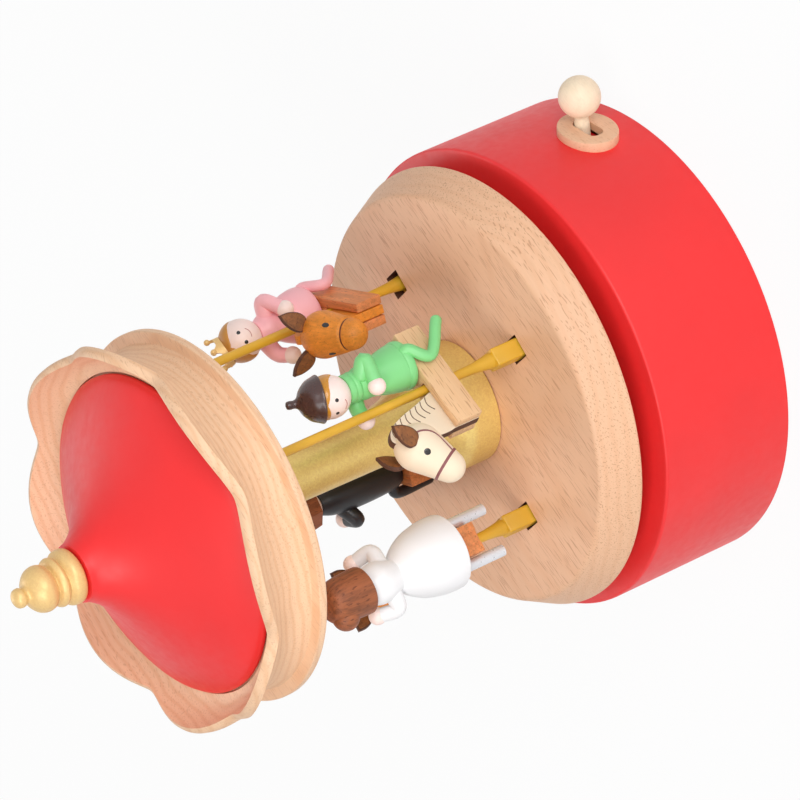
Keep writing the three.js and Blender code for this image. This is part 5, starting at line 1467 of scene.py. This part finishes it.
class MUSICBOX_OT_hair(bpy.types.Operator):
    """Make the painted and turned hair, the boy's cap and the princess's crown"""

    bl_idname = "musicbox.hair"
    bl_label = "Hair and headwear"

    def execute(self, context):
        self.boy()
        self.princess()
        self.turned_hair()
        self.bun()
        return {"FINISHED"}

    def boy(self):
        """Painted hair under a turned cap that leans back."""
        glossy = {"rough": 0.3, "mottle": 0.12, "coat": 0.3, "patch_mm": 1.2}
        paint = look("orange hair paint", lacquer, colours().fringe, **glossy)
        settled(made("boy_fringe", [painted_hair("boy", *BOY_HAIR)], paint), "boy_carrier", "brown_paint")
        shares = np.vstack([[[0, 0]], through(CAP_SHARES, 6) * [HEAD_RADIUS + GAP, CAP_HEIGHT]])
        upright = turned(shares + [0, CAP_SEAT], BODY_SIDES)
        cap = carried_by("boy", turn(turn(upright, "Y", CAP_LEAN), "Z", CAP_TURN) + head_middle("boy"))
        brown = look("dark brown paint", lacquer, colours().hat, rough=0.28, mottle=0.08, coat=0.2)
        settled(made("boy_cap", [cap], brown, SOFT_SHARP_ANGLE), "boy_carrier", "brown_paint", "boy_hat")

    def princess(self):
        """Painted hair, and a crown that leans back and to one side."""
        silky = {"rough": 0.35, "mottle": 0.15, "patch_mm": 1.2}
        paint = look("golden hair paint", lacquer, colours().princess_hair, **silky)
        hair = made("princess_hair", [painted_hair("princess", *PRINCESS_HAIR)], paint)
        settled(hair, "princess_carrier", "brown_paint")

        def worn(part):
            """A part of the crown, in its place on the head."""
            leaning = turn(turn(part + [0, 0, CROWN_SEAT], "X", CROWN_TILT), "Y", CROWN_LEAN)
            return carried_by("princess", leaning + head_middle("princess"))

        ring, beads = crown_parts()
        crown = made("gold_crown", [(worn(ring), True), *map(worn, beads)], pearl_gold(), CROWN_SHARP_ANGLE)
        settled(crown, "princess_carrier", "gold_paint", "princess_crown")

    def turned_hair(self):
        """The bride's bell and the groom's block with eight facets, each cut away in front of the face."""
        bell = np.vstack([[[0, 0]], through(BELL_SHARES, 5), [[0, 1]]])
        radius = TURNED_HAIR_RADIUS
        for label, shares, sides, sharp in (
            ("bride", bell, BODY_SIDES, TURNED_SHARP_ANGLE),
            ("groom", FACET_SHARES, 8, FACET_SHARP_ANGLE),
        ):
            height, below = TURNED_HAIR_HEIGHT[label], TURNED_HAIR_BELOW[label]
            rings = turned(shares * [radius, height] - [0, below], sides) + head_middle(label)
            hair = made(label + "_turned_hair", [carried_by(label, rings)], walnut_hair(), sharp)
            middle = np.array([radius + HEAD_RADIUS / 3, 0, height / 2 - below - 0.25 * height])
            half = np.array([radius, 0.75 * HEAD_RADIUS, height / 2])
            room = carried_by(label, block(middle - half, middle + half, 0.3) + head_middle(label))
            cut(hair, [room], walnut_hair(), sharp)
            settled(hair, label + "_carrier", "walnut", label + "_hair")

    def bun(self):
        """A ball on the left of the bride's hair and above it."""
        at = np.array([0.0, 0.7, 0.8]) * TURNED_HAIR_RADIUS + head_middle("bride")
        piece = made("bride_bun", [carried_by("bride", ball(BUN_RADIUS) + at)], walnut_hair())
        settled(piece, "bride_carrier", "walnut", "bride_hair_bun")


# Stage: floor, lamps and camera

CAMERA_PLACE = Vector((0.0, -1.4534, 0.9424))
CAMERA_PITCH = 0.534
CAMERA_YAW = 0.005
CAMERA_ROLL = -0.07
PHOTO_TURN = 110.0  # degrees that the picture is turned from upright
FOCAL_PIXELS = 5843.6
PHOTO_WIDTH = 800
SENSOR_WIDTH = 36.0
LAMP_SIZE = 0.9
FLOOR_RADIUS = 2800.0
FLOOR_TOP = -0.5
FLOOR_GREY = (0.85, 0.85, 0.85, 1.0)
FLOOR_GLOW = 0.93  # share of its own light where the floor is seen
WORLD_LIGHT = 0.3
WHITE = (1.0, 1.0, 1.0, 1.0)


class MUSICBOX_OT_stage(bpy.types.Operator):
    """Make the white floor, the soft lamps and the camera"""

    bl_idname = "musicbox.stage"
    bl_label = "Stage"

    def execute(self, context):
        self.floor()
        self.world()
        lamp("key", (-0.75, -0.75, 1.35), 12.5)
        lamp("fill", (0.3, -1.6, 0.75), 14.5)
        lamp("back", (0.35, 1.3, 0.9), 4.5)
        self.camera()
        return {"FINISHED"}

    def floor(self):
        """A matt white floor. Rays that show the background see it mostly as white light, with a trace of the
        object's shadow."""
        material, tree = blank("white floor")
        matt = add(tree, "BsdfPrincipled", {"Base Color": FLOOR_GREY, "Roughness": 0.8})
        shine = add(tree, "Emission", {"Color": WHITE, "Strength": 1.0})
        share = add(tree, "Math", {0: seen_ray(tree), 1: FLOOR_GLOW}, operation="MULTIPLY")
        mix = add(tree, "MixShader", {0: share, 1: matt, 2: shine})
        add(tree, "OutputMaterial", {"Surface": mix})
        made("floor", [plug(FLOOR_RADIUS, FLOOR_TOP, FLOOR_TOP - 1, 96)], material)

    def world(self):
        """White where it is seen, and weaker where it lights the object."""
        world = bpy.data.worlds.new("studio")
        bpy.context.scene.world = world
        world.use_nodes = True
        tree = world.node_tree
        tree.nodes.clear()
        strength = add(tree, "MapRange", {"Value": seen_ray(tree), "To Min": WORLD_LIGHT})
        sky = add(tree, "Background", {"Color": WHITE, "Strength": strength})
        add(tree, "OutputWorld", {"Surface": sky})
        bpy.context.scene.view_settings.view_transform = "Standard"

    def camera(self):
        """A camera that looks down at the box, leans by its roll and is then turned as the picture is."""
        out, down = math.cos(CAMERA_PITCH), math.sin(CAMERA_PITCH)
        ahead = Vector((math.sin(CAMERA_YAW) * out, math.cos(CAMERA_YAW) * out, -down))
        level = Vector((math.cos(CAMERA_YAW), -math.sin(CAMERA_YAW), 0.0))
        upright = level.cross(ahead)
        right = math.cos(CAMERA_ROLL) * level + math.sin(CAMERA_ROLL) * upright
        up = -math.sin(CAMERA_ROLL) * level + math.cos(CAMERA_ROLL) * upright
        cos, sin = math.cos(math.radians(PHOTO_TURN)), math.sin(math.radians(PHOTO_TURN))
        across, along = cos * right - sin * up, sin * right + cos * up
        data = bpy.data.cameras.new("camera")
        data.sensor_width = SENSOR_WIDTH
        data.lens = FOCAL_PIXELS / PHOTO_WIDTH * data.sensor_width
        data.clip_start, data.clip_end = 0.01, 20.0
        camera = bpy.data.objects.new("camera", data)
        turned_to = Matrix((across, along, -ahead)).transposed().to_4x4()
        camera.matrix_world = Matrix.Translation(CAMERA_PLACE) @ turned_to
        bpy.context.scene.collection.objects.link(camera)
        bpy.context.scene.camera = camera


def seen_ray(tree):
    """One for rays that show the background itself: from the camera, a gloss or through glass."""
    path = add(tree, "LightPath", {}).outputs
    either = {0: path["Is Camera Ray"], 1: path["Is Glossy Ray"]}
    first = add(tree, "Math", either, operation="MAXIMUM")
    return add(tree, "Math", {0: first, 1: path["Is Transmission Ray"]}, operation="MAXIMUM")


def lamp(name, at, watts):
    """A soft square lamp that looks at the middle of the box."""
    data = bpy.data.lights.new(name, "AREA")
    data.size = LAMP_SIZE
    data.energy = watts
    lit = bpy.data.objects.new(name, data)
    lit.location = at
    lit.rotation_euler = (Vector((0, 0, 0.1)) - Vector(at)).to_track_quat("-Z", "Y").to_euler()
    bpy.context.scene.collection.objects.link(lit)


STEPS = (
    "stage",
    "base",
    "lever",
    "movement",
    "disc",
    "column",
    "canopy",
    "roof",
    "poles",
    "horses",
    "riders",
    "hair",
)


class MUSICBOX_PT_panel(bpy.types.Panel):
    """Buttons for each group of pieces"""

    bl_idname = "MUSICBOX_PT_panel"
    bl_label = "Music box"
    bl_space_type = "VIEW_3D"
    bl_region_type = "UI"
    bl_category = "Music box"

    def draw(self, context):
        for step in STEPS:
            self.layout.operator("musicbox." + step)
        for group in (context.scene.music_box_sizes, context.scene.music_box_colours):
            for name in group.__annotations__:
                self.layout.prop(group, name)


CLASSES = (
    MusicBoxSizes,
    MusicBoxColours,
    MUSICBOX_OT_stage,
    MUSICBOX_OT_base,
    MUSICBOX_OT_lever,
    MUSICBOX_OT_movement,
    MUSICBOX_OT_disc,
    MUSICBOX_OT_column,
    MUSICBOX_OT_canopy,
    MUSICBOX_OT_roof,
    MUSICBOX_OT_poles,
    MUSICBOX_OT_horses,
    MUSICBOX_OT_riders,
    MUSICBOX_OT_hair,
    MUSICBOX_PT_panel,
)


def register():
    """Register the classes, and give the scene its sizes and colours."""
    for each in CLASSES:
        bpy.utils.register_class(each)
    bpy.types.Scene.music_box_sizes = PointerProperty(type=MusicBoxSizes)
    bpy.types.Scene.music_box_colours = PointerProperty(type=MusicBoxColours)


def unregister():
    """Take away what register gave, in the reverse order."""
    del bpy.types.Scene.music_box_colours
    del bpy.types.Scene.music_box_sizes
    for each in reversed(CLASSES):
        bpy.utils.unregister_class(each)


def main():
    register()
    for step in STEPS:
        getattr(bpy.ops.musicbox, step)()


if __name__ == "__main__":
    main()
